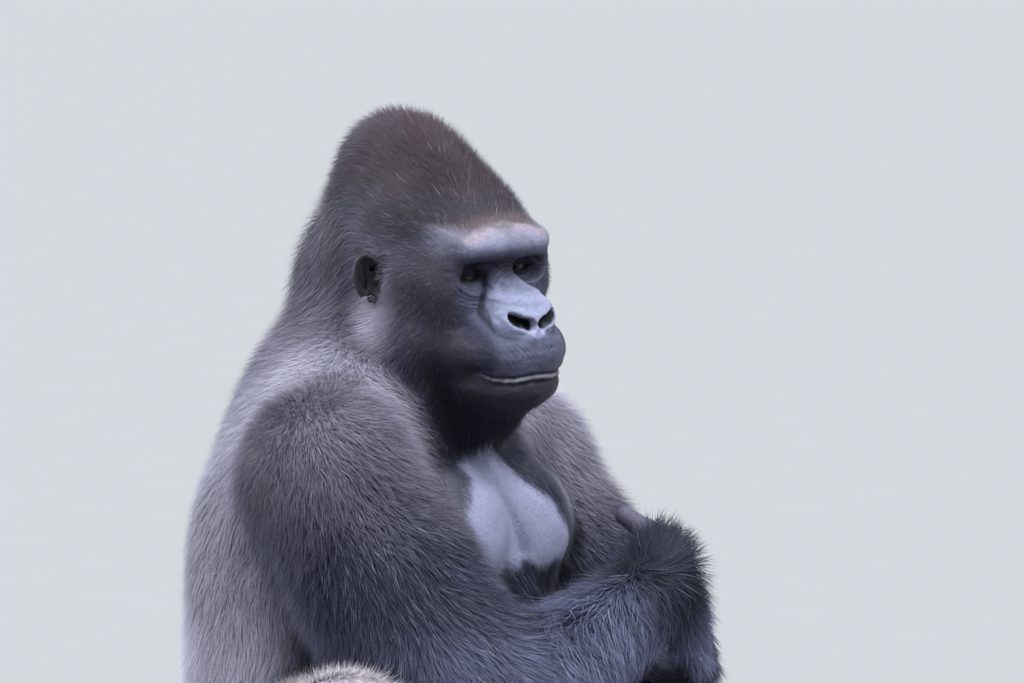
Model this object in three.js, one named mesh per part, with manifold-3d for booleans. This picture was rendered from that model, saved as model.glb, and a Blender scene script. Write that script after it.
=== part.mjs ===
// A silverback gorilla that sits with its arms folded, life size, as a group of named solids.
// Millimetres. It faces -Y, its left side is +X and the floor is z = 0. Each solid reaches the tips of the coat.
// The anatomy is a set of balls and bones that melt into each other, each with a skin size and a depth of coat.
// A sphere or capsule is then drawn out along rays until it meets that surface, and the solids are cut apart.
import * as THREE from "three";
import { mergeVertices } from "three/addons/utils/BufferGeometryUtils.js";
import Module from "manifold-3d";

const wasm = await Module();
wasm.setup();

const v = (x, y, z) => new THREE.Vector3(x, y, z);
const along = (a, b, t) => a.clone().lerp(b, t);
const towards = (a, b) => b.clone().sub(a).normalize();
const mean = (a, b) => a.clone().add(b).normalize();
const turned = (yaw, pitch, roll) => {
  const angles = [pitch, roll, yaw].map(THREE.MathUtils.degToRad);
  return new THREE.Quaternion().setFromEuler(new THREE.Euler(...angles, "ZYX"));
};

// ---- Pose and driving sizes -------------------------------------------------------------------

const GAP = 0.3; // left between solids that touch
const SPLIT = 0.25; // each side of a cut through one limb
const UP = v(0, 0, 1);

const EYE_LINE = v(-59, -219, 767); // between the eyes: the origin of the head's own frame
const HEAD_TURN = turned(-24, 8, -4); // in that frame the face looks along -Y
const EYE_RADIUS = 12.5;
const EYES = { right: [-37, 6.5, -3.5], left: [37, 6.5, 2.5] }; // the right eye sits a little lower
const EAR = [109, 104, -16];
const IN_EAR_LEAF = [106, 106, -16]; // within its thickness, behind the hollow

const ARMS = {
  right: {
    shoulder: v(-222, -85, 528),
    middle: v(-226, -170, 408),
    elbow: v(-205, -300, 235),
    wrist: v(52, -386, 394),
    knuckles: v(118, -392, 312),
    fingertips: v(235, -335, 245),
    thumb: [v(70, -378, 418), v(82, -352, 448), v(75, -325, 466)],
    deltoid: 92,
    biceps: 97,
    elbowRadius: 84,
    palmSide: 1,
  },
  left: {
    shoulder: v(228, -85, 518),
    middle: v(236, -165, 380),
    elbow: v(240, -258, 208),
    wrist: v(-50, -380, 168),
    knuckles: v(-152, -412, 140),
    fingertips: v(-262, -418, 92),
    thumb: [v(-70, -385, 200), v(-110, -400, 215), v(-140, -408, 205)],
    deltoid: 80,
    biceps: 80,
    elbowRadius: 70,
    palmSide: -1,
  },
};
const WRIST_RADIUS = 36;

const LEGS = {
  right: { hip: v(-120, 20, 150), knee: v(-391, -218, 232), ankle: v(-300, -440, 70), toes: v(0.25, -0.97, 0) },
  left: { hip: v(120, 20, 145), knee: v(450, -112, 195), ankle: v(300, -350, 70), toes: v(-0.3, -0.95, 0) },
};
const HEEL_BEHIND_ANKLE = 42;

// ---- Distance to a shape: below zero inside it ------------------------------------------------

// An ellipsoid of skin radii plus a depth of coat.
function ball(centre, radii, coat = 0, turn = new THREE.Quaternion()) {
  const size = v(...radii).addScalar(coat);
  const squared = size.clone().multiply(size);
  const back = turn.clone().invert();
  return (p) => {
    const q = p.clone().sub(centre).applyQuaternion(back);
    const near = q.clone().divide(size).length() + 1e-9;
    return (near * (near - 1)) / (q.divide(squared).length() + 1e-9);
  };
}

// A capsule whose radius changes evenly from a to b.
function bone(a, b, radiusA, radiusB, coat = 0) {
  const line = b.clone().sub(a);
  const lengthSquared = line.lengthSq();
  return (p) => {
    const t = THREE.MathUtils.clamp(p.clone().sub(a).dot(line) / lengthSquared, 0, 1);
    return p.distanceTo(along(a, b, t)) - radiusA - (radiusB - radiusA) * t - coat;
  };
}

function melt(a, b, width) {
  const h = THREE.MathUtils.clamp(0.5 + (0.5 * (b - a)) / width, 0, 1);
  return b * (1 - h) + a * h - width * h * (1 - h);
}

const joined = (width, ...shapes) => (p) => shapes.map((s) => s(p)).reduce((a, b) => melt(a, b, width));
const without = (width, shape, hole) => (p) => -melt(-shape(p), hole(p), width);
const mirrored = (shape) => (p) => shape(v(Math.abs(p.x), p.y, p.z));
const seenFrom = (frame, shape) => (p) => shape(p.clone().applyMatrix4(frame));
const grown = (shape, by) => (p) => shape(p) - by;

// ---- Anatomy ----------------------------------------------------------------------------------

// In the head's own frame: x to its left, y backwards, z up.
function headShape() {
  const skull = joined(
    34,
    ball(v(0, 104, 28), [78, 108, 84], 9), // braincase
    ball(v(0, 178, 64), [56, 122, 93], 16), // crest
    ball(v(0, 40, 30), [62, 58, 40], 6), // forehead
    mirrored(ball(v(46, 92, 5), [38, 66, 72], 11)), // temples
    mirrored(ball(v(49, 78, -75), [39, 60, 80], 11)), // jaw muscles
    mirrored(bone(v(58, 14, -14), v(62, 90, -20), 24, 27, 5)), // cheekbones
    mirrored(bone(v(40, -6, -98), v(54, 70, -84), 30, 46, 4)), // cheeks
    ball(v(0, 48, -148), [58, 84, 50], 10), // lower jaw
    ball(v(0, 36, -180), [40, 60, 36], 10), // throat
  );
  const brow = joined(14, mirrored(ball(v(22, -12, 38), [44, 26, 19], 1)), mirrored(ball(v(48, 0, 31), [23, 26, 19], 1)));
  const face = joined(
    16,
    brow,
    mirrored(ball(v(54, 8, -20), [18, 25, 42], 3)), // outer rim of the eye socket
    mirrored(ball(v(34, 6, -34), [30, 27, 27])), // below the eye
    bone(v(0, -2, 0), v(0, -36, -32), 17, 27), // bridge of the nose
    ball(v(0, -26, -50), [43, 38, 34]),
  );
  const lips = joined(12, ball(v(0, -38, -88), [69, 62, 46], 1), ball(v(0, -30, -130), [60, 60, 32], 5));
  const solid = joined(12, joined(26, joined(24, skull, face), lips), ball(v(0, -64, -51), [52, 27, 38]));
  const socketed = without(10, solid, mirrored(ball(v(37, -18, 0), [22, 20, 12])));
  const nostril = ball(v(18, -85, -44.5), [17, 15, 7], 0, turned(18, 22, -20));
  return without(4, socketed, mirrored(nostril));
}

// The left ear: a thick leaf with a hollow that opens outwards and forwards.
function earShape() {
  const flare = turned(-32, -8, 0);
  const leaf = ball(v(...EAR), [9, 20, 32], 0, flare);
  const hollow = ball(v(...EAR).add(v(7, -5, 2)), [8, 13, 23], 0, flare);
  return without(4, leaf, hollow);
}

function trunkShape() {
  const core = joined(
    60,
    ball(v(0, 34, 150), [208, 182, 155], 12), // pelvis
    ball(v(0, -15, 300), [228, 222, 200], 16), // belly
    ball(v(0, -12, 455), [222, 192, 170], 17), // rib cage
    ball(v(0, 5, 570), [172, 132, 98], 16), // upper back
    mirrored(bone(v(0, -6, 660), v(165, -62, 560), 80, 82, 17)), // trapezius
    mirrored(ball(v(168, 8, 405), [72, 110, 150], 14)), // flanks
  );
  const neck = bone(v(0, 24, 610), v(12, -54, 715), 104, 66, 16);
  const nape = ball(v(-6, -8, 735), [58, 94, 118], 16);
  const throated = joined(36, joined(50, core, neck), nape);
  const breast = joined(12, ball(v(-76, -167, 448), [88, 66, 84]), ball(v(76, -167, 446), [88, 66, 84]));
  return joined(18, throated, breast);
}

function armShape(arm) {
  const upper = joined(
    20,
    bone(arm.shoulder, arm.middle, arm.deltoid - 4, arm.biceps, 24),
    bone(arm.middle, arm.elbow, arm.biceps, arm.elbowRadius, 28),
  );
  return joined(
    34,
    upper,
    ball(arm.shoulder, [arm.deltoid, arm.deltoid, arm.deltoid], 19),
    bone(arm.elbow, arm.wrist, 62, WRIST_RADIUS, 27),
    ball(along(arm.elbow, arm.wrist, 0.3), [62, 62, 62], 28),
  );
}

function legShape(leg) {
  return joined(
    35,
    bone(leg.hip, leg.knee, 114, 78, 16),
    bone(leg.knee, leg.ankle, 70, 42, 15),
    ball(along(leg.knee, leg.ankle, 0.34), [66, 66, 66], 18),
  );
}

// ---- Solids -----------------------------------------------------------------------------------

const RAY_STEP = 1.5;
const RAY_LIMIT = 1200;
const HALVINGS = 16;

// How far a ray runs from inside a shape until it leaves it.
function reach(shape, from, direction) {
  const at = (t) => shape(from.clone().addScaledVector(direction, t));
  let inside = 0;
  let outside = RAY_STEP;
  while (at(outside) < 0 && outside < RAY_LIMIT) {
    inside = outside;
    outside += Math.max(RAY_STEP, -0.7 * at(outside));
  }
  for (let i = 0; i < HALVINGS; i++) {
    const middle = (inside + outside) / 2;
    if (at(middle) < 0) inside = middle;
    else outside = middle;
  }
  return outside;
}

// The same geometry with its seam and poles closed.
function welded(geometry) {
  const bare = new THREE.BufferGeometry();
  bare.setAttribute("position", geometry.getAttribute("position"));
  bare.setIndex(geometry.index);
  return mergeVertices(bare);
}

function solidOf(geometry) {
  const mesh = new wasm.Mesh({
    numProp: 3,
    vertProperties: geometry.getAttribute("position").array,
    triVerts: new Uint32Array(geometry.index.array),
  });
  return new wasm.Manifold(mesh);
}

// Draws each point of a unit sphere or capsule out from a core line, from a to b, to the shape's surface.
function wrapped(shape, unit, a, b, turn) {
  const geometry = welded(unit);
  geometry.computeBoundingBox();
  const half = geometry.boundingBox.max.y - 1;
  const points = geometry.getAttribute("position");
  for (let i = 0; i < points.count; i++) {
    const point = new THREE.Vector3().fromBufferAttribute(points, i);
    const height = THREE.MathUtils.clamp(point.y, -half, half);
    const from = along(a, b, half > 0 ? (height + half) / (2 * half) : 0);
    const direction = point.sub(v(0, height, 0)).normalize().applyQuaternion(turn);
    const end = from.clone().addScaledVector(direction, reach(shape, from, direction));
    points.setXYZ(i, end.x, end.y, end.z);
  }
  return solidOf(geometry);
}

// A limb or a long rounded part, wrapped from its core line.
function limb(shape, a, b, [sides, capRings, rings]) {
  const turn = new THREE.Quaternion().setFromUnitVectors(v(0, 1, 0), towards(a, b));
  return wrapped(shape, new THREE.CapsuleGeometry(1, 2, capRings, sides, rings), a, b, turn);
}

// A part of the head, wrapped from one point inside it. Its rings crowd towards the face.
function rounded(shape, centre, [sides, rings], crowding = 1) {
  const sphere = new THREE.SphereGeometry(1, sides, rings);
  const points = sphere.getAttribute("position");
  for (let i = 0; i < points.count; i++) {
    const point = new THREE.Vector3().fromBufferAttribute(points, i);
    const angle = Math.acos(THREE.MathUtils.clamp(-point.y, -1, 1));
    const crowded = Math.PI * (angle / Math.PI) ** crowding;
    const scale = Math.sin(crowded) / (Math.hypot(point.x, point.z) || 1);
    points.setXYZ(i, point.x * scale, -Math.cos(crowded), point.z * scale);
  }
  return wrapped(shape, sphere, centre, centre, HEAD_TURN);
}

// Keeps what lies behind each wall, given as a point on it and the way out of what is kept.
function walled(by, solid, ...walls) {
  return walls.reduce((rest, [point, out]) => {
    const inward = out.clone().normalize().negate();
    return rest.trimByPlane(inward.toArray(), inward.dot(point) + SPLIT - by);
  }, solid);
}
const flipped = ([point, out]) => [point, out.clone().negate()];

const headFrame = new THREE.Matrix4().compose(EYE_LINE, HEAD_TURN, v(1, 1, 1));
const intoHead = headFrame.clone().invert();
const fromHead = (x, y, z) => v(x, y, z).applyMatrix4(headFrame);
const headWay = (x, y, z) => v(x, y, z).applyQuaternion(HEAD_TURN);

// The trunk, neck and head are one surface, parted by walls.
const BODY = joined(45, trunkShape(), seenFrom(intoHead, headShape()));
const MOUTH = [fromHead(0, -98, -109), headWay(0, -0.21, -1)];
const MUZZLE_ROOT = [fromHead(0, -30, -60), headWay(0, 1, 0.18)];
const SKULL_BASE = [v(-20, -65, 674), v(0, 0.6, -0.8)];
const NECK_ROOT = [v(0, -20, 620), v(0, 0.45, -0.89)];
const WAIST = [v(0, 0, 335), v(0, 0, -1)];

// Each maker takes how far to grow its solid, so that a neighbour can be cut clear of it.
const eye = (side) => (by) => {
  const sphere = welded(new THREE.SphereGeometry(EYE_RADIUS + by, 12, 7));
  return solidOf(sphere.translate(...fromHead(...EYES[side]).toArray()));
};
const cranium = (by) => {
  const solid = rounded(grown(BODY, by), fromHead(0, 62, -10), [26, 21], 1.35);
  return walled(by, solid, MOUTH, flipped(MUZZLE_ROOT), SKULL_BASE);
};
const muzzle = (by) => {
  const solid = rounded(grown(BODY, by), fromHead(0, -45, -72), [24, 16], 1.3);
  return walled(by, solid, MOUTH, MUZZLE_ROOT);
};
const jaw = (by) => {
  const solid = rounded(grown(BODY, by), fromHead(0, 5, -155), [20, 13], 1.2);
  return walled(by, solid, flipped(MOUTH), SKULL_BASE);
};
const ear = (side) => (by) => {
  const mirror = new THREE.Matrix4().makeScale(side, 1, 1);
  const shape = seenFrom(mirror.multiply(intoHead), earShape());
  const [x, y, z] = IN_EAR_LEAF;
  return rounded(grown(shape, by), fromHead(side * x, y, z), [10, 8]);
};

const trunk = (by) => limb(grown(BODY, by), v(0, 5, 150), v(-5, -45, 690), [26, 5, 9]);
const neck = (by) => walled(by, trunk(by), flipped(SKULL_BASE), NECK_ROOT);
const chest = (by) => walled(by, trunk(by), flipped(NECK_ROOT), WAIST);
const belly = (by) => walled(by, trunk(by), flipped(WAIST));

const elbowWall = (arm) => [arm.elbow, mean(towards(arm.middle, arm.elbow), towards(arm.elbow, arm.wrist))];
const wristWall = (arm) => [arm.wrist, mean(towards(arm.elbow, arm.wrist), towards(arm.wrist, arm.knuckles))];
const upperArm = (arm) => (by) => {
  const end = arm.elbow.clone().addScaledVector(towards(arm.middle, arm.elbow), -10);
  return walled(by, limb(grown(armShape(arm), by), arm.shoulder, end, [13, 3, 4]), elbowWall(arm));
};
const forearm = (arm) => (by) => {
  const solid = limb(grown(armShape(arm), by), arm.elbow, arm.wrist, [13, 3, 4]);
  return walled(by, solid, flipped(elbowWall(arm)), wristWall(arm));
};

// A finger, thumb or toe: a chain of small bones.
function digit(points, radii) {
  const bones = points.slice(1).map((end, i) => {
    const start = points[i];
    return limb(bone(start, end, radii[i], radii[i + 1]), start, end, [5, 2, 1]);
  });
  return bones.reduce((a, b) => a.add(b));
}

const HAIR_ON_DIGITS = 1;
const PALM = [50, 66, 24];
const PALM_AHEAD = 12; // of the middle between wrist and knuckles
const HAND_COAT = 4;
const HAND_ROOT_RADIUS = 28;
const CUFF_COAT = 22; // of the long hair that hangs from the wrist over the back of the hand
const FINGERS = [
  { offset: 36, back: 4, share: 0.9 },
  { offset: 12, back: 0, share: 1 },
  { offset: -12, back: 4, share: 0.95 },
  { offset: -35, back: 12, share: 0.78 },
];
const FINGER_RADII = [14.5, 13.5, 11.5];
const THUMB_RADII = [19, 14, 11.5];
const FINGER_BEND = 16;
const thicker = (radii, by) => radii.map((r) => r + by);

const hand = (arm) => (by) => {
  const onward = towards(arm.wrist, arm.knuckles);
  const centre = along(arm.wrist, arm.knuckles, 0.5);
  const thumbSide = arm.thumb[1].clone().sub(centre).projectOnPlane(onward).normalize();
  const frame = new THREE.Matrix4().makeBasis(thumbSide, onward, thumbSide.clone().cross(onward));
  const turn = new THREE.Quaternion().setFromRotationMatrix(frame);
  centre.addScaledVector(onward, PALM_AHEAD);
  const shape = joined(
    20,
    ball(centre, PALM, HAND_COAT, turn),
    bone(arm.wrist, centre, WRIST_RADIUS, HAND_ROOT_RADIUS, CUFF_COAT),
  );
  const palm = limb(grown(shape, by), arm.wrist, centre, [10, 3, 1]);

  const pointing = towards(arm.knuckles, arm.fingertips);
  const across = thumbSide.clone().projectOnPlane(pointing).normalize();
  const bend = pointing.clone().cross(across).multiplyScalar(arm.palmSide * FINGER_BEND);
  const length = arm.knuckles.distanceTo(arm.fingertips);
  const fingers = FINGERS.map(({ offset, back, share }) => {
    const root = arm.knuckles.clone().addScaledVector(thumbSide, offset).addScaledVector(onward, -back);
    const tip = root.clone().addScaledVector(pointing, length * share);
    const middle = along(root, tip, 0.5).add(bend);
    return digit([root, middle, tip], thicker(FINGER_RADII, HAIR_ON_DIGITS + by));
  });
  const thumb = digit(arm.thumb, thicker(THUMB_RADII, HAIR_ON_DIGITS + by));
  const whole = [thumb, ...fingers].reduce((a, b) => a.add(b), palm);
  return walled(by, whole, flipped(wristWall(arm)));
};

const kneeWall = (leg) => [leg.knee, mean(towards(leg.hip, leg.knee), towards(leg.knee, leg.ankle))];
const ankleWall = (leg) => [leg.ankle, mean(towards(leg.knee, leg.ankle), leg.toes)];
const thigh = (leg) => (by) => {
  const solid = limb(grown(legShape(leg), by), along(leg.hip, leg.knee, 0.2), leg.knee, [11, 3, 3]);
  return walled(by, solid, kneeWall(leg));
};
const shank = (leg) => (by) => {
  const solid = limb(grown(legShape(leg), by), leg.knee, leg.ankle, [12, 3, 4]);
  return walled(by, solid, flipped(kneeWall(leg)), ankleWall(leg));
};

const FOOT_COAT = 2;
const TOES = 4;
const TOE_RADII = [14, 12];
const BIG_TOE = [v(-28, 120, 26), v(-66, 172, 22), v(-80, 214, 17)];
const BIG_TOE_RADII = [22, 19, 15];

// In the foot's frame: x outwards, y along the foot from the heel, z up.
const foot = (leg) => (by) => {
  const ahead = leg.toes.clone().normalize();
  const side = ahead.clone().cross(UP).multiplyScalar(-Math.sign(leg.hip.x));
  const heel = v(leg.ankle.x, leg.ankle.y, 0).addScaledVector(ahead, -HEEL_BEHIND_ANKLE);
  const place = (x, y, z) => heel.clone().addScaledVector(side, x).addScaledVector(ahead, y).addScaledVector(UP, z);
  const turn = new THREE.Quaternion().setFromUnitVectors(v(0, 1, 0), ahead);
  const shape = joined(
    16,
    ball(place(0, 34, 34), [35, 40, 36], FOOT_COAT, turn), // heel
    ball(place(4, 105, 30), [46, 95, 32], FOOT_COAT, turn), // arch
    ball(place(8, 178, 24), [50, 40, 25], FOOT_COAT, turn), // ball of the foot
    bone(leg.ankle, place(2, 60, 40), 40, 34, 8), // instep
  );
  const sole = limb(grown(shape, by), place(0, 40, 32), place(6, 170, 26), [10, 3, 2]);
  const toes = Array.from({ length: TOES }, (_, i) => {
    const root = place(-20 + 20 * i, 196 - 4 * i, 20);
    const tip = place(-26 + 24 * i, 258 - 9 * i, 14);
    return digit([root, tip], thicker(TOE_RADII, HAIR_ON_DIGITS + by));
  });
  const bigToe = digit(BIG_TOE.map((p) => place(...p.toArray())), thicker(BIG_TOE_RADII, HAIR_ON_DIGITS + by));
  const whole = [bigToe, ...toes].reduce((a, b) => a.add(b), sole);
  return walled(by, whole, flipped(ankleWall(leg)));
};

// ---- Materials and parts ----------------------------------------------------------------------

const finish = (color, roughness) => new THREE.MeshStandardMaterial({ color, roughness, metalness: 0 });
const blackCoat = finish(0x24242a, 0.8);
const silverCoat = finish(0x77777a, 0.8);
const skin = finish(0x2e2e33, 0.5);
const eyeGloss = finish(0x2a160c, 0.1);

// In order of right of way: each part is cut clear of all those before it.
const PARTS = [
  ["eye_right", eye("right"), eyeGloss],
  ["eye_left", eye("left"), eyeGloss],
  ["muzzle", muzzle, skin],
  ["jaw", jaw, blackCoat],
  ["head", cranium, blackCoat],
  ["ear_right", ear(-1), skin],
  ["ear_left", ear(1), skin],
  ["neck", neck, blackCoat],
  ["chest", chest, blackCoat],
  ["belly_and_rump", belly, silverCoat],
];
for (const side of ["right", "left"]) {
  PARTS.push([`forearm_${side}`, forearm(ARMS[side]), blackCoat]);
  PARTS.push([`upper_arm_${side}`, upperArm(ARMS[side]), blackCoat]);
}
for (const side of ["right", "left"]) {
  PARTS.push([`hand_${side}`, hand(ARMS[side]), skin]);
  PARTS.push([`shank_${side}`, shank(LEGS[side]), blackCoat]);
  PARTS.push([`thigh_${side}`, thigh(LEGS[side]), silverCoat]);
  PARTS.push([`foot_${side}`, foot(LEGS[side]), skin]);
}

// The largest piece of a solid, without the slivers that a cut leaves.
function largest(solid) {
  return solid.decompose().reduce((a, b) => (b.volume() > a.volume() ? b : a));
}

function meshOf(name, solid, material) {
  const made = solid.getMesh();
  const geometry = new THREE.BufferGeometry();
  geometry.setAttribute("position", new THREE.BufferAttribute(new Float32Array(made.vertProperties), 3));
  geometry.setIndex(new THREE.BufferAttribute(new Uint32Array(made.triVerts), 1));
  geometry.computeVertexNormals();
  const mesh = new THREE.Mesh(geometry, material);
  mesh.name = name;
  return mesh;
}

const gorilla = new THREE.Group();
const taken = [];
for (const [name, make, material] of PARTS) {
  const clear = taken.reduce((solid, other) => solid.subtract(other), make(0));
  gorilla.add(meshOf(name, largest(clear.trimByPlane(UP.toArray(), 0)), material));
  taken.push(make(GAP));
}

// The origin is at the middle of the bounding box's floor.
const middle = new THREE.Box3().setFromObject(gorilla).getCenter(v(0, 0, 0));
gorilla.position.set(-middle.x, -middle.y, 0);

export default gorilla;
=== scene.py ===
"""The looks of a life-size silverback gorilla that sits with folded arms.

The anatomy repeats the solids' sizes, in millimetres: balls and bones that melt into each other, each with
a size at the skin and a depth of coat. Only the face is finer, with a narrower nose. One skin is meshed from
it, eyes and nails are set into it, and thin solid tufts of hair grow out of it to the coat's depth. The
figure faces -Y, its left side is +X and the floor is z = 0.
"""
import bpy
import math
import numpy as np
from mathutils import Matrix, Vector


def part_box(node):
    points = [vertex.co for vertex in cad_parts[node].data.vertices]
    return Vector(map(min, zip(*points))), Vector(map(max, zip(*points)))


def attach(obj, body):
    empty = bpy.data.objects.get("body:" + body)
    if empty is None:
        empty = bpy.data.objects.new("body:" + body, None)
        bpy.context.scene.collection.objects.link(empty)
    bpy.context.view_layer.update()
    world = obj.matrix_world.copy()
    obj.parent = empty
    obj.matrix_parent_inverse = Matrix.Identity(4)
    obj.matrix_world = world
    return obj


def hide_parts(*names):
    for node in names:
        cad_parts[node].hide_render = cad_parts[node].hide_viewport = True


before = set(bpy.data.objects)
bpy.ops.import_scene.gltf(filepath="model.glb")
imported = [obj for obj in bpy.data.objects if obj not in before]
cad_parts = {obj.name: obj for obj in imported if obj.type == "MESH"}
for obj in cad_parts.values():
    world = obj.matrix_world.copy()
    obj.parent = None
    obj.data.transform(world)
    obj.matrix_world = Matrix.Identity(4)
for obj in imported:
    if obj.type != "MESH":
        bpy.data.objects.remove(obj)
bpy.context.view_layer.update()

FAR = 1e3  # stands for the distance to a part that is out of reach
TINY = 1e-9  # keeps a division by zero away
RNG = np.random.default_rng(7)


# ---- Small helpers ----

def vec(*numbers):
    return np.array(numbers, float)


def unit(a):
    return a / (np.linalg.norm(a, axis=-1, keepdims=True) + 1e-12)


def turned(yaw=0, pitch=0, roll=0):
    """Rotation about X by pitch, then about Y by roll, then about Z by yaw, in degrees."""
    a, b, c = np.radians([yaw, pitch, roll])
    about_z = np.array([[np.cos(a), -np.sin(a), 0], [np.sin(a), np.cos(a), 0], [0, 0, 1]])
    about_x = np.array([[1, 0, 0], [0, np.cos(b), -np.sin(b)], [0, np.sin(b), np.cos(b)]])
    about_y = np.array([[np.cos(c), 0, np.sin(c)], [0, 1, 0], [-np.sin(c), 0, np.cos(c)]])
    return about_z @ about_y @ about_x


def fade(t, start, end):
    """0 at start, 1 at end, smooth between."""
    h = np.clip((t - start) / (end - start), 0, 1)
    return h * h * (3 - 2 * h)


def bump(t, width):
    return np.exp(-((t / width) ** 2))


def mixed(a, b, share):
    return a + (b - a) * share


# ---- Distance to a shape: below zero inside it ----

def ball(p, centre, radii, grow=0.0, turn=None):
    """An ellipsoid, or a round ball where only one radius is given."""
    q = p - np.asarray(centre, float)
    if turn is not None:
        q = q @ turn
    size = np.ones(3) * radii + grow
    near = np.sqrt(((q / size) ** 2).sum(-1)) + TINY
    return near * (near - 1) / (np.sqrt(((q / size ** 2) ** 2).sum(-1)) + TINY)


def bone(p, a, b, radius_a, radius_b, grow=0.0):
    """A straight limb with round ends, from one radius to the other."""
    line = b - a
    t = np.clip(((p - a) @ line) / (line @ line), 0, 1)
    from_axis = np.linalg.norm(p - (a + t[..., None] * line), axis=-1)
    return from_axis - mixed(radius_a, radius_b, t) - grow


def melt(a, b, width):
    h = np.clip(0.5 + 0.5 * (b - a) / width, 0, 1)
    return b * (1 - h) + a * h - width * h * (1 - h)


def joined(width, *shapes):
    out = shapes[0]
    for shape in shapes[1:]:
        out = melt(out, shape, width)
    return out


def without(width, shape, hole):
    return -melt(-shape, hole, width)


def within(p, low, high, shape):
    """The distance to a shape, worked out only for points in its box."""
    out = np.full(len(p), FAR)
    near = ((p > low) & (p < high)).all(-1)
    if near.any():
        out[near] = shape(p[near])
    return out


def noise(p, scale, seed):
    """Smooth value noise from -1 to 1 over cells of the given size."""
    q = p / scale + 19.7 * seed
    cell = np.floor(q)
    f = q - cell
    f = f * f * (3 - 2 * f)
    cell = cell.astype(np.int64)
    out = 0
    for corner in range(8):
        step = np.array([corner & 1, (corner >> 1) & 1, corner >> 2])
        c = cell + step
        h = (c[:, 0] * 73856093) ^ (c[:, 1] * 19349663) ^ (c[:, 2] * 83492791) ^ (seed * 2654435761)
        h = (h ^ (h >> 13)) * 1274126177 & 0xFFFFFFFF
        value = ((h ^ (h >> 16)) & 0xFFFF) / 32767.5 - 1
        out = out + value * np.prod(np.where(step, f, 1 - f), axis=1)
    return out


# ---- Pose: the same sizes as in the solids ----

EYE_LINE = vec(-59, -219, 767)
HEAD_TURN = turned(yaw=-24, pitch=8, roll=-4)
EYE_RADIUS = 12.5
EYE_MIDDLE = vec(0, 6.5, -0.5)
EYE_SIDE = vec(37, 0, 3)  # from the middle to the left eye; the right eye is opposite
EAR = vec(109, 104, -16)

ARMS = {
    "right": dict(
        shoulder=vec(-222, -85, 528), middle=vec(-226, -170, 408), elbow=vec(-205, -300, 235),
        wrist=vec(52, -386, 394), knuckles=vec(118, -392, 312), fingertips=vec(235, -335, 245),
        thumb=[vec(70, -378, 418), vec(82, -352, 448), vec(75, -325, 466)],
        deltoid=92, biceps=97, elbow_radius=84, palm_side=1,
    ),
    "left": dict(
        shoulder=vec(228, -85, 518), middle=vec(236, -165, 380), elbow=vec(240, -258, 208),
        wrist=vec(-50, -380, 168), knuckles=vec(-152, -412, 140), fingertips=vec(-262, -418, 92),
        thumb=[vec(-70, -385, 200), vec(-110, -400, 215), vec(-140, -408, 205)],
        deltoid=80, biceps=80, elbow_radius=70, palm_side=-1,
    ),
}
LEGS = {
    "right": dict(
        hip=vec(-120, 20, 150), knee=vec(-391, -218, 232),
        ankle=vec(-300, -440, 70), toes=vec(0.25, -0.97, 0),
    ),
    "left": dict(
        hip=vec(120, 20, 145), knee=vec(450, -112, 195),
        ankle=vec(300, -350, 70), toes=vec(-0.3, -0.95, 0),
    ),
}
WRIST_RADIUS = 36
HEEL_BEHIND_ANKLE = 42
FINGERS = ((36, 4, 0.9), (12, 0, 1.0), (-12, 4, 0.95), (-35, 12, 0.78))  # offset, set back, share of length
FINGER_BEND = 16
BIG_TOE = (vec(-28, 120, 26), vec(-66, 172, 22), vec(-80, 214, 17))


def in_head(p):
    return (p - EYE_LINE) @ HEAD_TURN


def from_head(q):
    return np.asarray(q, float) @ HEAD_TURN.T + EYE_LINE


def beside_eye(q):
    """Position from the centre of the eye on the same side, with x outwards."""
    side = np.where(q[:, :1] < 0, -1.0, 1.0)
    return (q - EYE_MIDDLE - side * EYE_SIDE) * np.hstack([side, np.ones_like(side), np.ones_like(side)])


def folded(p):
    """Points with the right side folded on to the left one."""
    return np.column_stack([np.abs(p[:, 0]), p[:, 1], p[:, 2]])


# ---- Anatomy ----

# Half of the nose pad's outline from the front, before it is narrowed. The skin's mesh is finest along it.
NOSE_EDGE = ((8, 8), (14, -1), (25, -15), (33, -25), (43, -35), (49, -44), (47, -55), (41, -64), (31, -71),
             (17, -78), (0, -77))
NOSE_NARROWING = 0.87
NOSE_TOP = (0, 16)
PLAIN_NOSE = 43, 52  # half the widths of the snout and of the nose pad, as in the solids
FINE_NOSE = 36, 42  # the same where the face is shaped finely
LID_RADIUS = 15.0


def rounded(corners):
    """A line with its corners cut off twice."""
    for _ in range(2):
        points = np.array(corners, float)
        a, b = points[:-1], points[1:]
        cut = np.stack([0.75 * a + 0.25 * b, 0.25 * a + 0.75 * b], 1).reshape(-1, 2)
        corners = np.vstack([points[:1], cut[1:-1], points[-1:]])
    return [tuple(corner) for corner in corners]


NOSE_OUTLINE = rounded([(round(NOSE_NARROWING * x), z) for x, z in NOSE_EDGE])


def nose_edge_distance(x, z):
    """Distance to the nose pad's outline as seen from the front, below zero inside the pad."""
    nearest = np.full(len(x), FAR)
    inside = np.zeros(len(x), bool)
    corners = NOSE_OUTLINE + [NOSE_TOP]
    for (x0, z0), (x1, z1) in zip(corners, corners[1:]):
        t = np.clip(((x - x0) * (x1 - x0) + (z - z0) * (z1 - z0)) / ((x1 - x0) ** 2 + (z1 - z0) ** 2), 0, 1)
        if x1 or x0:
            nearest = np.minimum(nearest, np.hypot(x - x0 - t * (x1 - x0), z - z0 - t * (z1 - z0)))
        crosses = (z0 > z) != (z1 > z)
        inside ^= crosses & (x < x0 + (z - z0) * (x1 - x0) / ((z1 - z0) or 1))
    return np.where(inside, -nearest, nearest)


def lip_line(x):
    return -107.5 - 3.5 * np.minimum(x / 28, 1) ** 2 + 5 * fade(x, 46, 62)


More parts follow.
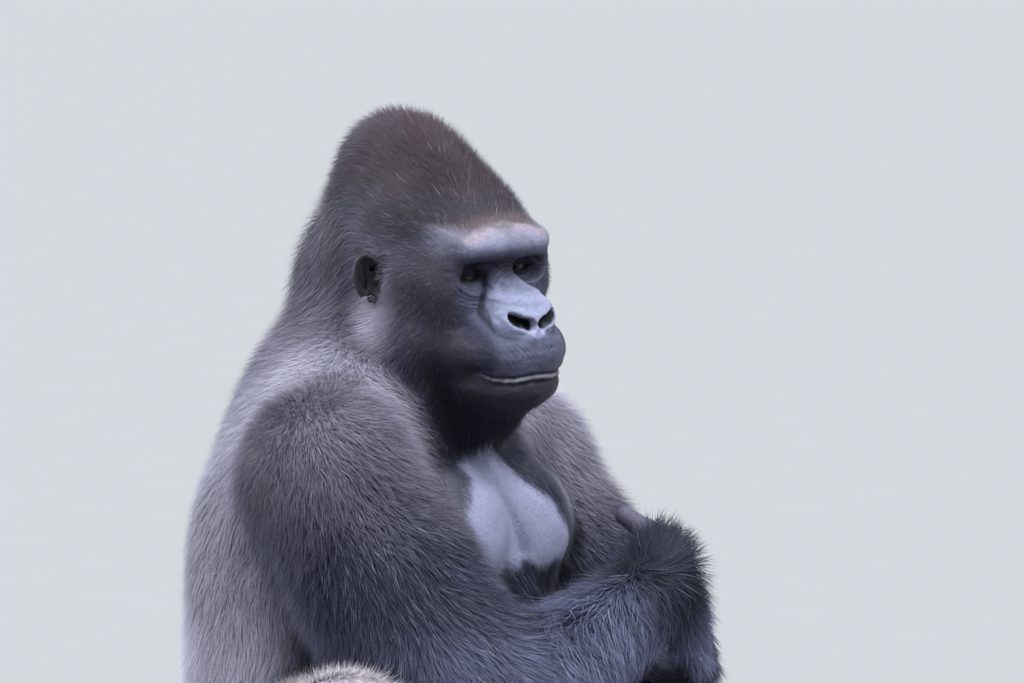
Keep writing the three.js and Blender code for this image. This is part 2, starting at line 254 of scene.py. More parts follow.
def head_forms(q, s, coat, fine):
    """The head without its nose, and the nose; s is q with both sides folded on to the left one.

    In the plain form the bridge and the snout belong to the head, and the nose is its pad alone.
    """
    skull = joined(
        34,
        ball(q, (0, 104, 28), (78, 108, 84), 9 * coat),  # braincase
        ball(q, (0, 178, 64), (56, 122, 93), 16 * coat),  # crest
        ball(q, (0, 40, 30), (62, 58, 40), 6 * coat),  # forehead
        ball(s, (46, 92, 5), (38, 66, 72), 11 * coat),  # temples
        ball(s, (49, 78, -75), (39, 60, 80), 11 * coat),  # jaw muscles
        bone(s, vec(58, 14, -14), vec(62, 90, -20), 24, 27, 5 * coat),  # cheekbones
        bone(s, vec(40, -6, -98), vec(54, 70, -84), 30, 46, 4 * coat),  # cheeks
        ball(q, (0, 48, -148), (58, 84, 50), 10 * coat),  # lower jaw
        ball(q, (0, 36, -180), (40, 60, 36), 10 * coat),  # throat
    )
    brow = joined(14, ball(s, (22, -12, 38), (44, 26, 19), coat), ball(s, (48, 0, 31), (23, 26, 19), coat))
    rim = ball(s, (54, 8, -20), (18, 25, 42), 3 * coat)  # outer rim of the eye socket
    under_eye = ball(s, (34, 6, -34), (30, 27, 27))
    upper_lip = ball(q, (0, -38, -88), (69, 62, 46), coat)
    lips = joined(12, upper_lip, ball(q, (0, -30, -130), (60, 60, 32), 5 * coat))
    bridge = bone(s, vec(0, -2, 0), vec(0, -36, -32), 17, 27)
    snout_width, pad_width = FINE_NOSE if fine else PLAIN_NOSE
    snout = ball(q, (0, -26, -50), (snout_width, 38, 34))
    pad = ball(q, (0, -64, -51), (pad_width, 27, 38))
    if fine:
        rest = joined(26, joined(24, skull, joined(16, brow, rim, under_eye)), lips)
        return rest, joined(20, joined(18, bridge, snout), pad)
    rest = joined(26, joined(24, skull, joined(16, brow, rim, under_eye, bridge, snout)), lips)
    return rest, pad


def head_field(p, coat, fine):
    q = in_head(p)
    s = folded(q)
    rest, nose = head_forms(q, s, coat, fine)
    socket = ball(s, (37, -18, 0), (22, 20, 12))
    if fine:
        return joined(5, face_detail(q, s, without(10, rest, socket), nose), ear_field(s))
    return joined(5, without(10, joined(12, rest, nose), socket), ear_field(s))


def nose_fold(x, z):
    """1 where a sharp fold bounds the nose: beside it, but neither across its bridge nor under its middle."""
    return fade(z + 0.45 * (x - 30), -80, -62) * fade(x, 8, 15)


def crease(t):
    """Narrow grooves at whole numbers."""
    return (0.5 + 0.5 * np.cos(2 * np.pi * t)) ** 3


def nostril(s, width, outer, inner):
    """A slanting hole, thickest towards the middle; outer and inner are each a centre and radii."""
    return joined(width, ball(s, *outer, 0, turned(18, 24, -20)), ball(s, *inner, 0, turned(8, 20, -35)))


def with_brow(q, s, rest, front):
    """The brow overhangs the eyes, is dented in the middle and droops beside them."""
    rest = without(7, rest, ball(s, (34, -20, 8), (22, 15, 8)))
    rest = joined(10, rest, ball(s, (62, 6, 12), (14, 18, 20)))
    rest = joined(12, rest, ball(q, (0, -13, 37), (36, 23.5, 17)))
    return rest + 1.2 * front * bump(s[:, 0], 8) * bump(s[:, 2] - 17, 9)


def with_nose(s, rest, nose, beside, front):
    """A fold runs down beside the bridge and under the wings of the nose, whose nostrils have soft rims."""
    x, _, z = s.T
    sharp = nose_fold(x, z) * fade(-z, -10, 4)
    solid = mixed(joined(16, rest, nose), joined(5, rest, nose) + 2.8 * bump(beside, 4), sharp)
    solid = solid + front * 0.8 * bump(x, 2.4) * fade(-z, 50, 58) * fade(z, -74, -66)
    hole = nostril(s, 5, ((18.5, -84, -43.5), (17.5, 18, 6.0)), ((9.5, -90, -48.5), (7.5, 15, 6.2)))
    solid = solid - front * 1.3 * bump(hole - 3.5, 3.2)
    return without(2.6, solid, hole)


def with_lips(q, s, solid, front):
    """The lips meet in a thin line over a narrow lower lip."""
    x, y, z = s.T
    solid = joined(8, solid, ball(q, (0, -31, -128), (63, 63, 30)))
    line = z - lip_line(x) + 0.5 * noise(q, 14, 12)
    gap = np.abs(line) - 0.5 + np.maximum(x - 57, 0) * 0.4 + np.maximum(y + 40, 0) * 0.12
    solid = solid - front * 2.0 * bump(line + 4.6, 2.9) * fade(-x, -60, -46)
    solid = solid + front * 1.6 * bump(line + 10.5, 3.2) * fade(-x, -54, -36)
    solid = solid - front * 0.9 * bump(line - 5, 4.5) * fade(-x, -60, -46)
    solid = without(2.4, solid, gap)
    return solid + front * 1.6 * bump(np.hypot(x - 62, z + 105), 6)


def with_lids(e, solid):
    """Lids close round the eyeball, and a pocket behind them holds it."""
    r = np.linalg.norm(e, axis=1)
    solid = joined(5, solid, r - LID_RADIUS)
    solid = without(1.4, solid, ball(e, (0, -15, -0.8), (14.0, 15, 3.8)))
    return without(0.6, solid, r - (EYE_RADIUS + 0.35))


def with_eye_bags(q, e, solid, spread, deep):
    """Folds of the lids and bags under the eyes, crossed by fine creases that run out over the cheeks."""
    lid = np.hypot(e[:, 0] * 0.84, e[:, 2] * 1.22)
    wavy = lid + 1.7 * noise(q, 17, 3) + 0.6 * noise(q, 6, 4)
    around = fade(-e[:, 1], -20, -6)
    under = fade(-e[:, 2], 0, 7)
    over = fade(e[:, 2], 2, 6)
    solid = solid + around * (1.6 * bump(wavy - 17.8, 1.5) * (0.5 * over + under))
    solid = solid - around * under * 1.6 * bump(wavy - 23, 4)
    sweep = fade(wavy, 19, 24) * fade(-wavy, -60, -42) * spread
    return solid + around * under * sweep * 2.0 * deep * crease(wavy / 5.2)


def with_wrinkles(q, s, solid, front, edge, deep):
    """Creases across the nose's root, bowed over the bridge, and soft wrinkles from brow to muzzle."""
    x, y, z = s.T
    rows = z + 0.035 * x ** 2 + 1.4 * noise(q, 14, 5)
    root = fade(-x, -21, -13) * fade(-rows, -22, -14) * fade(rows, -16, -8) * fade(-y, -2, 8)
    solid = solid + root * 1.7 * deep * crease(rows / 5.0)
    solid = solid + front * 0.55 * noise(q * vec(0.6, 0.4, 1.4), 7, 8) + front * 0.25 * noise(q, 3.4, 14)
    slanted = x * 0.8 - z * 0.6 + 2 * noise(q, 15, 15)
    lip = fade(edge, 2, 8) * fade(-z, 66, 76) * fade(z, -104, -98) * fade(-x, -62, -50)
    return solid + front * lip * 0.45 * crease(slanted / 5.5)


def face_detail(q, s, rest, nose):
    """The bare face: the nose joins the rest of it in a fold, then come lips, lids and creases."""
    front = fade(-q[:, 1], -14, 8)
    rest = with_brow(q, s, rest, front)
    beside = nose - rest + 1.2 * noise(q, 14, 10)
    edge = beside * 0.7
    deep = 0.6 + 0.4 * noise(q, 9, 13)
    e = beside_eye(q)
    solid = with_nose(s, rest, nose, beside, front)
    solid = with_lips(q, s, solid, front)
    solid = with_lids(e, solid)
    solid = with_eye_bags(q, e, solid, fade(edge, 0, 4) * fade(-s[:, 0], -76, -62), deep)
    return with_wrinkles(q, s, solid, front, edge, deep)


def in_ear(s):
    return (s - EAR) @ turned(-32, -8, 0)


def ear_hollow(e):
    return joined(8, ball(e, (8, -2, 6), (9, 14, 20)), ball(e, (8, -4, -10), (8, 9, 11)))


def ear_field(s):
    """A small round ear: a leaf with a rolled rim and one soft ridge in its deep hollow."""
    e = in_ear(s)
    ear = without(4, ball(e, (0, 0, 0), (9, 20, 32)), ear_hollow(e))
    return joined(5, ear, ball(e, (3, 7, 2), (3.4, 4, 15)))


BREAST_TOP = 572
BREAST_FOOT = 405


def furrow_at(z):
    """How far to the left the furrow between the breasts lies at a height."""
    return 16 - 0.3 * (z - 429)


def beyond_breast(p):
    """How far a point is above and outside the slanting upper edge of the breast on its side."""
    aside = np.abs(p[:, 0] - furrow_at(p[:, 2]))
    return 0.83 * (aside - 0.67 * (BREAST_TOP - p[:, 2]))


def trunk_field(p, coat):
    m = folded(p)
    core = joined(
        60,
        ball(p, (0, 34, 150), (208, 182, 155), 12 * coat),  # pelvis
        ball(p, (0, -15, 300), (228, 222, 200), 16 * coat),  # belly
        ball(p, (0, -12, 455), (222, 192, 170), 17 * coat),  # rib cage
        ball(p, (0, 5, 570), (172, 132, 98), 16 * coat),  # upper back
        bone(m, vec(0, -6, 660), vec(165, -62, 560), 80, 82, 17 * coat),  # trapezius
        ball(m, (168, 8, 405), (72, 110, 150), 14 * coat),  # flanks
    )
    core = joined(50, core, bone(p, vec(0, 24, 610), vec(12, -54, 715), 104, 66, 16 * coat))
    core = joined(36, core, ball(p, (-6, -8, 735), (58, 94, 118), 16 * coat))
    breast = joined(12, ball(p, (-76, -167, 448), (88, 66, 84)), ball(p, (76, -167, 446), (88, 66, 84)))
    # Folds run beside each breast's upper edge, and a furrow between the two.
    line = beyond_breast(p) + 3 * noise(p, 45, 11)
    folds = sum(depth * bump(line - at, 2.8) for at, depth in ((-3, 2.4), (5, 2.8), (13, 2.2), (22, 1.8)))
    folds = folds * fade(p[:, 2], 425, 465) * fade(-p[:, 2], -552, -520) * fade(-p[:, 1], 150, 180)
    folds = folds * fade(p[:, 0], -30, 10)
    furrow = 7 * bump(p[:, 0] - furrow_at(p[:, 2]), 8) * fade(-p[:, 1], 150, 180)
    furrow = furrow * fade(p[:, 2], 395, 425) * fade(-p[:, 2], -580, -550)
    return joined(18, core, breast) + (1 - coat) * (folds + furrow)


def upper_arm_field(p, arm, coat):
    deltoid = arm["deltoid"]
    length = joined(
        20,
        bone(p, arm["shoulder"], arm["middle"], deltoid - 4, arm["biceps"], 24 * coat),
        bone(p, arm["middle"], arm["elbow"], arm["biceps"], arm["elbow_radius"], 28 * coat),
    )
    return joined(30, length, ball(p, arm["shoulder"], deltoid, 19 * coat))


def forearm_field(p, arm, coat):
    swell = mixed(arm["elbow"], arm["wrist"], 0.3)
    return joined(
        34,
        bone(p, arm["elbow"], arm["wrist"], 62, WRIST_RADIUS, 27 * coat),
        ball(p, swell, 62, 28 * coat),
    )


def hand_axes(arm):
    """Along the hand, towards its thumb, along the fingers, and out of the fingers' back."""
    onward = unit(arm["knuckles"] - arm["wrist"])
    centre = (arm["wrist"] + arm["knuckles"]) / 2
    thumb_side = arm["thumb"][1] - centre
    thumb_side = unit(thumb_side - onward * (thumb_side @ onward))
    pointing = unit(arm["fingertips"] - arm["knuckles"])
    across = unit(thumb_side - pointing * (thumb_side @ pointing))
    return onward, thumb_side, pointing, np.cross(pointing, across) * arm["palm_side"]


def finger_joints(arm):
    onward, thumb_side, pointing, back = hand_axes(arm)
    length = np.linalg.norm(arm["fingertips"] - arm["knuckles"])
    for offset, set_back, share in FINGERS:
        root = arm["knuckles"] + thumb_side * offset - onward * set_back
        tip = root + pointing * length * share
        yield root, (root + tip) / 2 + back * FINGER_BEND, tip


def hand_field(p, arm, coat):
    onward, thumb_side, _, back = hand_axes(arm)
    centre = (arm["wrist"] + arm["knuckles"]) / 2 + onward * 12
    turn = np.stack([thumb_side, onward, np.cross(thumb_side, onward)], 1)
    out = ball(p, centre, (47, 63, 21), 7 * coat, turn)
    out = joined(20, out, bone(p, arm["wrist"], centre, WRIST_RADIUS, 28, 22 * coat))
    for root, middle, tip in finger_joints(arm):
        finger = joined(6, bone(p, root, middle, 13, 12.5, 2 * coat), bone(p, middle, tip, 12.5, 11.5, coat))
        knuckles = joined(4, ball(p, root + back * 2, 14, 2 * coat), ball(p, middle, 13.4, coat))
        out = joined(5, out, joined(4, finger, knuckles))
    a, b, c = arm["thumb"]
    return joined(10, out, joined(6, bone(p, a, b, 19, 14), bone(p, b, c, 14, 11.5)))


def foot_axes(leg):
    ahead = unit(leg["toes"])
    side = np.cross(ahead, vec(0, 0, 1)) * -np.sign(leg["hip"][0])
    heel = leg["ankle"] * vec(1, 1, 0) - ahead * HEEL_BEHIND_ANKLE
    return heel, np.stack([side, ahead, vec(0, 0, 1)], 1)


def in_foot(p, leg):
    heel, turn = foot_axes(leg)
    return (p - heel) @ turn


def toe_ends(i):
    return vec(-20 + 20 * i, 196 - 4 * i, 20), vec(-26 + 24 * i, 258 - 9 * i, 14)


def foot_field(p, leg, coat):
    heel, turn = foot_axes(leg)
    q = in_foot(p, leg)
    out = joined(
        16,
        ball(q, (0, 34, 34), (35, 40, 36), 2 * coat),
        ball(q, (4, 105, 30), (46, 95, 32), 2 * coat),
        ball(q, (8, 178, 24), (50, 40, 25), 2 * coat),
        bone(p, leg["ankle"], heel + turn @ vec(2, 60, 40), 40, 34, 8 * coat),
    )
    for i in range(4):
        root, tip = toe_ends(i)
        toe = joined(4, bone(q, root, tip, 14, 12), ball(q, mixed(root, tip, 0.45), 14.5))
        out = joined(5, out, toe)
    a, b, c = BIG_TOE
    return joined(12, out, joined(8, bone(q, a, b, 22, 19), bone(q, b, c, 19, 15)))


def thigh_field(p, leg, coat):
    return bone(p, leg["hip"], leg["knee"], 114, 78, 16 * coat)


def shank_field(p, leg, coat):
    calf = mixed(leg["knee"], leg["ankle"], 0.34)
    return joined(35, bone(p, leg["knee"], leg["ankle"], 70, 42, 15 * coat), ball(p, calf, 66, 18 * coat))


def box_of(points, margin):
    points = np.array(points)
    return points.min(0) - margin, points.max(0) + margin


def hand_points(arm):
    return [arm["wrist"], arm["knuckles"], arm["fingertips"], *arm["thumb"]]


REACH = 75  # how far outside its own box a part is still measured
HEAD_BOX = box_of([from_head((x, y, z)) for x in (-125, 125) for y in (-102, 320) for z in (-235, 180)], 50)


def parts_of(p, coat, fine):
    """The distance to each part of the body by name."""
    out = {
        "head": within(p, *HEAD_BOX, lambda s: head_field(s, coat, fine)),
        "trunk": trunk_field(p, coat),
    }

    def add(name, field, limb, points, thickness):
        box = box_of(points, thickness + REACH)
        out[name] = within(p, *box, lambda s: field(s, limb, coat))

    for side, arm in ARMS.items():
        add("upper_arm_" + side, upper_arm_field, arm, [arm["shoulder"], arm["middle"], arm["elbow"]], 125)
        add("forearm_" + side, forearm_field, arm, [arm["elbow"], arm["wrist"]], 95)
        add("hand_" + side, hand_field, arm, hand_points(arm), 60)
    for side, leg in LEGS.items():
        heel, turn = foot_axes(leg)
        add("thigh_" + side, thigh_field, leg, [leg["hip"], leg["knee"]], 130)
        add("shank_" + side, shank_field, leg, [leg["knee"], leg["ankle"]], 90)
        add("foot_" + side, foot_field, leg, [leg["ankle"], heel, heel + turn @ vec(0, 270, 0)], 90)
    return out


def whole(parts, p):
    """All parts melted into one body that rests on the floor."""
    out = melt(parts["trunk"], parts["head"], 45)
    for side in ARMS:
        arm = melt(melt(parts["upper_arm_" + side], parts["forearm_" + side], 34), parts["hand_" + side], 14)
        out = melt(out, arm, 30)
    for side in LEGS:
        leg = melt(melt(parts["thigh_" + side], parts["shank_" + side], 35), parts["foot_" + side], 20)
        out = melt(out, leg, 30)
    return -melt(-out, p[:, 2], 4)


def body_field(p, coat=0.0, fine=True):
    """Distance to the skin, or with coat=1 to the tips of the hair."""
    return whole(parts_of(p, coat, fine), p)


def plain_field(p):
    return body_field(p, fine=False)


def outer_field(p):
    return body_field(p, coat=1.0, fine=False)


SLOPE_STEP = 0.35
LEAST_SLOPE = 0.15
LONGEST_MOVE = 3.0


def slope(field, p):
    """The field's value and gradient at points."""
    value = field(p)
    grad = np.stack([field(p + np.eye(3)[i] * SLOPE_STEP) - value for i in range(3)], 1) / SLOPE_STEP
    return value, grad


def settled(field, p, rounds):
    """Points moved on to the surface of a field."""
    for _ in range(rounds):
        value, grad = slope(field, p)
        move = grad * (value / np.maximum((grad ** 2).sum(1), LEAST_SLOPE))[:, None]
        size = np.linalg.norm(move, axis=1, keepdims=True)
        p = p - move * np.minimum(1, LONGEST_MOVE / np.maximum(size, TINY))
    return p


# ---- The skin's mesh ----

CELL = 9.6  # size of a quad before it is split
BLOCK = 4  # cells along a block that is skipped or meshed as one
BODY_BOX = vec(-520, -690, -2 * CELL), vec(580, 260, 990)


def surface_net():
    """Quads round the body: one point in each grid cell that the surface crosses."""
    # A coarse look first, so that only the blocks near the surface are measured in full.
    low, high = BODY_BOX
    blocks = np.ceil((high - low) / (CELL * BLOCK)).astype(int) + 1
    middles = np.stack(np.meshgrid(*[np.arange(n) for n in blocks], indexing="ij"), -1).reshape(-1, 3) + 0.5
    rough = body_field(low + middles * CELL * BLOCK, fine=False).reshape(blocks)
    near = np.abs(rough) < CELL * BLOCK * 1.5
    values = np.repeat(np.repeat(np.repeat(rough, BLOCK, 0), BLOCK, 1), BLOCK, 2)
    near = np.repeat(np.repeat(np.repeat(near, BLOCK, 0), BLOCK, 1), BLOCK, 2)
    corners = np.argwhere(near)
    values[near] = body_field(low + corners * CELL, fine=False)

    # Each grid edge that the surface crosses gives a quad, between the four cells round that edge.
    inside = values < 0
    size = np.array(values.shape)
    crossing_sum = np.zeros((*size, 3))
    crossing_count = np.zeros(size)
    quads = []
    for axis in range(3):
        a = [slice(0, n) for n in size]
        b = [slice(0, n) for n in size]
        a[axis], b[axis] = slice(0, size[axis] - 1), slice(1, size[axis])
        a, b = tuple(a), tuple(b)
        ends = np.argwhere(inside[a] != inside[b])
        i, j, k = ends.T
        first = values[a][i, j, k]
        second = values[b][i, j, k]
        place = ends.astype(float)
        place[:, axis] += first / (first - second)
        u, v = (axis + 1) % 3, (axis + 2) % 3
        ring = []
        for du, dv in ((0, 0), (-1, 0), (-1, -1), (0, -1)):
            cell = ends.copy()
            cell[:, u] += du
            cell[:, v] += dv
            np.add.at(crossing_sum, tuple(cell.T), place)
            np.add.at(crossing_count, tuple(cell.T), 1)
            ring.append(np.ravel_multi_index(tuple(cell.T), size))
        ring = np.stack(ring, 1)
        ring[first < 0] = ring[first < 0][:, ::-1]
        quads.append(ring[:, ::-1])
    quads = np.concatenate(quads)
    used = np.unique(quads)
    number = np.zeros(values.size, int)
    number[used] = np.arange(len(used))
    verts = low + (crossing_sum.reshape(-1, 3)[used] / crossing_count.ravel()[used, None]) * CELL
    return verts, number[quads]


def split(verts, faces, chosen):
    """Each chosen quad becomes four; its neighbours take up the new points on their edges."""
    middles = {}
    made = []

    def middle(a, b):
        key = (a, b) if a < b else (b, a)
        if key not in middles:
            middles[key] = len(verts) + len(made)
            made.append((verts[a] + verts[b]) / 2)
        return middles[key]

    out = []
    for face, yes in zip(faces, chosen):
        if yes:
            ring = [middle(face[i], face[(i + 1) % 4]) for i in range(4)]
            centre = len(verts) + len(made)
            made.append(verts[list(face)].mean(0))
            out.extend((face[i], ring[i], centre, ring[i - 1]) for i in range(4))
        else:
            out.append(face)
    if not made:
        return verts, faces
    closed = []
    for face in out:
        ring = []
        for i, a in enumerate(face):
            b = face[(i + 1) % len(face)]
            ring.append(a)
            between = middles.get((a, b) if a < b else (b, a))
            if between is not None:
                ring.append(between)
        closed.append(tuple(ring) if len(ring) > len(face) else face)
    return np.vstack([verts, made]), closed


def detail_level(p):
    """How many times the skin's quads are split at a point."""
    level = np.zeros(len(p), int)
    for arm in ARMS.values():
        box = box_of([arm["knuckles"], arm["fingertips"], *arm["thumb"]], 30)
        level[within(p, *box, lambda s: hand_field(s, arm, 0) - 14) < 0] = 1
    for leg in LEGS.values():
        q = in_foot(p, leg)
        level[(np.abs(q[:, 0]) < 95) & (q[:, 1] > 110) & (q[:, 1] < 285) & (q[:, 2] < 60)] = 1
    breast = (p[:, 1] < -150) & (np.abs(p[:, 2] - 480) < 85) & (np.abs(p[:, 0]) < 150)
    edge = beyond_breast(p)
    furrow = np.abs(p[:, 0] - furrow_at(p[:, 2])) < 12
    level[breast & ((edge > -12) & (edge < 34) | furrow)] = 2

    q = in_head(p)
    s = folded(q)
    x, y, z = s.T
    face = (x < 88) & (y < 50) & (z > -150) & (z < 70) & (np.abs(q).max(1) < 160)
    level[face] = 1
    level[(x < 74) & (y < 22) & (z > -138) & (z < 48) & face] = 2
    level[np.linalg.norm((s - EAR) / vec(26, 32, 46), axis=1) < 1] = 2
    from_eye = np.linalg.norm(beside_eye(q) * vec(0.85, 1, 0.85), axis=1)
    eye = (from_eye < 36) & (y < 12) & (z < 22)
    fold = nose_edge_distance(x, z)
    nose = ((np.abs(fold) < 8) | (x < 40) & (z > -62) & (z < -30) & (fold < 0)) & (y < -15)
    mouth = (np.abs(z - lip_line(x)) < 8) & (x < 68) & (y < 10)
    root = (x < 24) & (z > -20) & (z < 26) & (y < -10)
    level[eye | nose | mouth | root] = 3
    level[(from_eye < 17) & (y < 4)] = 4
    return level


CARVE_REACH = 12.0  # how far outside the plain head the fine one is looked for
CARVE_DEPTH = 24.0  # and how far inside it
CARVE_ROUNDS = 42
CARVE_MISS = 0.04


def carved(p, normal):
    """Points of the plain head moved along their normals on to the finely shaped one."""
    start = p + normal * CARVE_REACH
    gone = np.zeros(len(p))
    active = np.arange(len(p))
    for _ in range(CARVE_ROUNDS):
        value = body_field(start[active] - normal[active] * gone[active, None])
        gone[active] += np.clip(value * 0.8, -1.0, 4.0)
        active = active[(np.abs(value) > CARVE_MISS) & (gone[active] < CARVE_REACH + CARVE_DEPTH)]
        if not len(active):
            break
    return start - normal * np.clip(gone, 0, CARVE_REACH + CARVE_DEPTH)[:, None]


def skin_mesh():
    """The skin's points and faces, and the even quads that the coat grows on."""
    verts, quads = surface_net()
    verts = settled(plain_field, verts, 4)
    faces = [tuple(q) for q in quads.tolist()]
    base = verts, quads
    for level in (1, 2, 3, 4):
        middle = np.array([verts[list(face)].mean(0) for face in faces])
        chosen = (detail_level(middle) >= level) & (np.array([len(face) for face in faces]) == 4)
        before = len(verts)
        verts, faces = split(verts, faces, chosen.tolist())
        verts[before:] = settled(plain_field, verts[before:], 3)
    q = in_head(verts)
    head = (np.abs(q[:, 0]) < 150) & (q[:, 1] < 135) & (q[:, 1] > -130) & (q[:, 2] > -160) & (q[:, 2] < 90)
    normal = unit(slope(plain_field, verts[head])[1])
    verts[head] = carved(verts[head], normal)
    verts[:, 2] = np.maximum(verts[:, 2], 0)
    return verts, faces, base


# ---- Markings, with painted light and shade in places: one colour for skin, and one for hair, at each place on the body ----

def srgb(r, g, b):
    c = np.array([r, g, b]) / 255
    return np.where(c <= 0.04045, c / 12.92, ((c + 0.055) / 1.055) ** 2.4)


FACE_SKIN = srgb(70, 71, 90)
# Dark skin beside the nose, darkened further as painted shade in the hollow there
MUZZLE_SKIN_AND_SHADE = srgb(38, 37, 53)
CHIN_SKIN = srgb(6, 5, 9)
BROW_SKIN = srgb(122, 123, 145)
# Pale grey: the nose pad's dark skin lightened as a painted highlight
NOSE_SKIN_AND_HIGHLIGHT = srgb(126, 130, 156)
# Pale line along the lower lip: painted highlight
LIP_HIGHLIGHT = srgb(122, 120, 134)
# Pale bluish: the breasts' own skin, partly painted light where they face the light
CHEST_SKIN_AND_LIGHT = srgb(130, 132, 158)
HAND_SKIN = srgb(74, 72, 88)
FOOT_SKIN = srgb(48, 47, 54)
# Dark skin round the eyes, also used as painted shadow under the brow and painted shade in folds
SOCKET_SKIN_AND_SHADE = srgb(28, 27, 33)
EAR_SKIN = srgb(34, 33, 38)
# Near-black: painted shade deep in the ear's hollow
EAR_HOLLOW_SHADE = srgb(12, 11, 13)
# Near-black: painted shade inside the nostrils
NOSTRIL_SHADE = srgb(7, 6, 8)
# Near-black: painted shade in the gap between the lips
MOUTH_SHADE = srgb(15, 13, 16)

BLACK_HAIR = srgb(44, 46, 61)
SLATE_HAIR = srgb(84, 86, 112)
SILVER_HAIR = srgb(166, 164, 182)
CROWN_HAIR = srgb(67, 54, 57)
HEAD_HAIR = srgb(67, 64, 76)
# Grey hair of the shoulders, lightened for a painted sheen
SHOULDER_HAIR_AND_SHEEN = srgb(122, 115, 127)
NAPE_HAIR = srgb(116, 110, 122)
TAN_HAIR = srgb(132, 114, 108)
THIGH_HAIR = srgb(200, 193, 200)


def brow_top(x):
    """Height of the hairline over the brow; it comes down at the temples."""
    return 60 - 12 * fade(x, 16, 66)


def outside_face(q):
    """Roughly how far a point of the head is outside the bare face, below zero on the face."""
    x, y, z = np.abs(q[:, 0]), q[:, 1], q[:, 2]
    edge = np.interp(z, [-125, -110, -90, -60, -30, 0, 30, 50], [50, 60, 66, 64, 66, 72, 68, 60])
    top = brow_top(x)
    bottom = -120 + 0.0022 * x ** 2
    out = np.maximum.reduce([x - edge, z - top, bottom - z])
    return np.maximum(out, y - 44)


def face_mask(q):
    """1 on the bare skin of the face, 0 in the hair; q is in the head's frame."""
    ragged = 3.0 * noise(q, 9, 21) + 2.0 * noise(q, 4, 22)
    return fade(-outside_face(q) + ragged, -4, 4)


def ear_mask(q):
    return fade(-np.linalg.norm((folded(q) - EAR) / vec(17, 21, 33), axis=1), -1.12, -0.95)


def chest_mask(p):
    """1 on the bare breasts: a patch beside the furrow that widens downwards, broader on the right."""
    x, y, z = p.T
    aside = x - furrow_at(z)
    drop = BREAST_TOP - z
    width = np.minimum(np.where(aside > 0, 14 + 0.67 * drop, 10 + 1.3 * drop), 130)
    inside = np.minimum.reduce([width - np.abs(aside), drop, z - BREAST_FOOT + 0.1 * np.abs(aside)])
    inside = inside + 7 * noise(p, 30, 23) + 4 * noise(p, 11, 24)
    return fade(inside, -6, 12) * fade(-y, 120, 160) * fade(y, -300, -275)


def hand_mask(p, arm):
    """1 on the bare palm, fingers' ends and nails, 0 in the hair on the back of the hand."""
    onward, thumb_side, _, _ = hand_axes(arm)
    outer = bone(p, arm["thumb"][1], arm["thumb"][2], 16, 15)
    for _, middle, tip in finger_joints(arm):
        outer = np.minimum(outer, bone(p, mixed(middle, tip, 0.4), tip, 15, 14))
    palm = (p - arm["knuckles"]) @ np.cross(thumb_side, onward) * arm["palm_side"]
    along = (p - arm["wrist"]) @ onward
    bare_palm = fade(palm, 2, 12) * fade(along, 5, 30)
    return np.clip(fade(3 * noise(p, 8, 25) - outer, -6, 2) + bare_palm, 0, 1)


def foot_mask(p, leg):
    """1 on the bare toes and sole."""
    q = in_foot(p, leg)
    toes = bone(q, BIG_TOE[1], BIG_TOE[2], 23, 18)
    for i in range(4):
        root, tip = toe_ends(i)
        toes = np.minimum(toes, bone(q, mixed(root, tip, 0.3), tip, 17, 15))
    sole = fade(-q[:, 2] + 3 * noise(p, 9, 26), -24, -12)
    return np.clip(fade(-toes, -6, 3) + sole, 0, 1)


def masks_of(p):
    """Where the skin is bare: a share for the whole, and for the face, chest, hands and feet."""
    q = in_head(p)
    out = {"face": face_mask(q), "ears": ear_mask(q), "chest": chest_mask(p)}
    hands = np.zeros(len(p))
    for arm in ARMS.values():
        low, high = box_of(hand_points(arm), 45)
        near = ((p > low) & (p < high)).all(-1)
        near[near] = hand_field(p[near], arm, 0) < 9
        hands[near] = np.maximum(hands[near], hand_mask(p[near], arm))
    feet = np.zeros(len(p))
    for leg in LEGS.values():
        near = p[:, 2] < 90
        near[near] = foot_field(p[near], leg, 0) < 9
        feet[near] = np.maximum(feet[near], foot_mask(p[near], leg))
    out["hands"], out["feet"] = hands, feet
    out["bare"] = np.clip(out["face"] + out["ears"] + out["chest"] + hands + feet, 0, 1)
    return out


def painted(base, colour, share):
    return base + (colour - base) * np.clip(share, 0, 1)[:, None]


def layered(base, *layers):
    """Paints one colour after another over the base, each by its share."""
    for colour, share in layers:
        base = painted(base, colour, share)
    return base


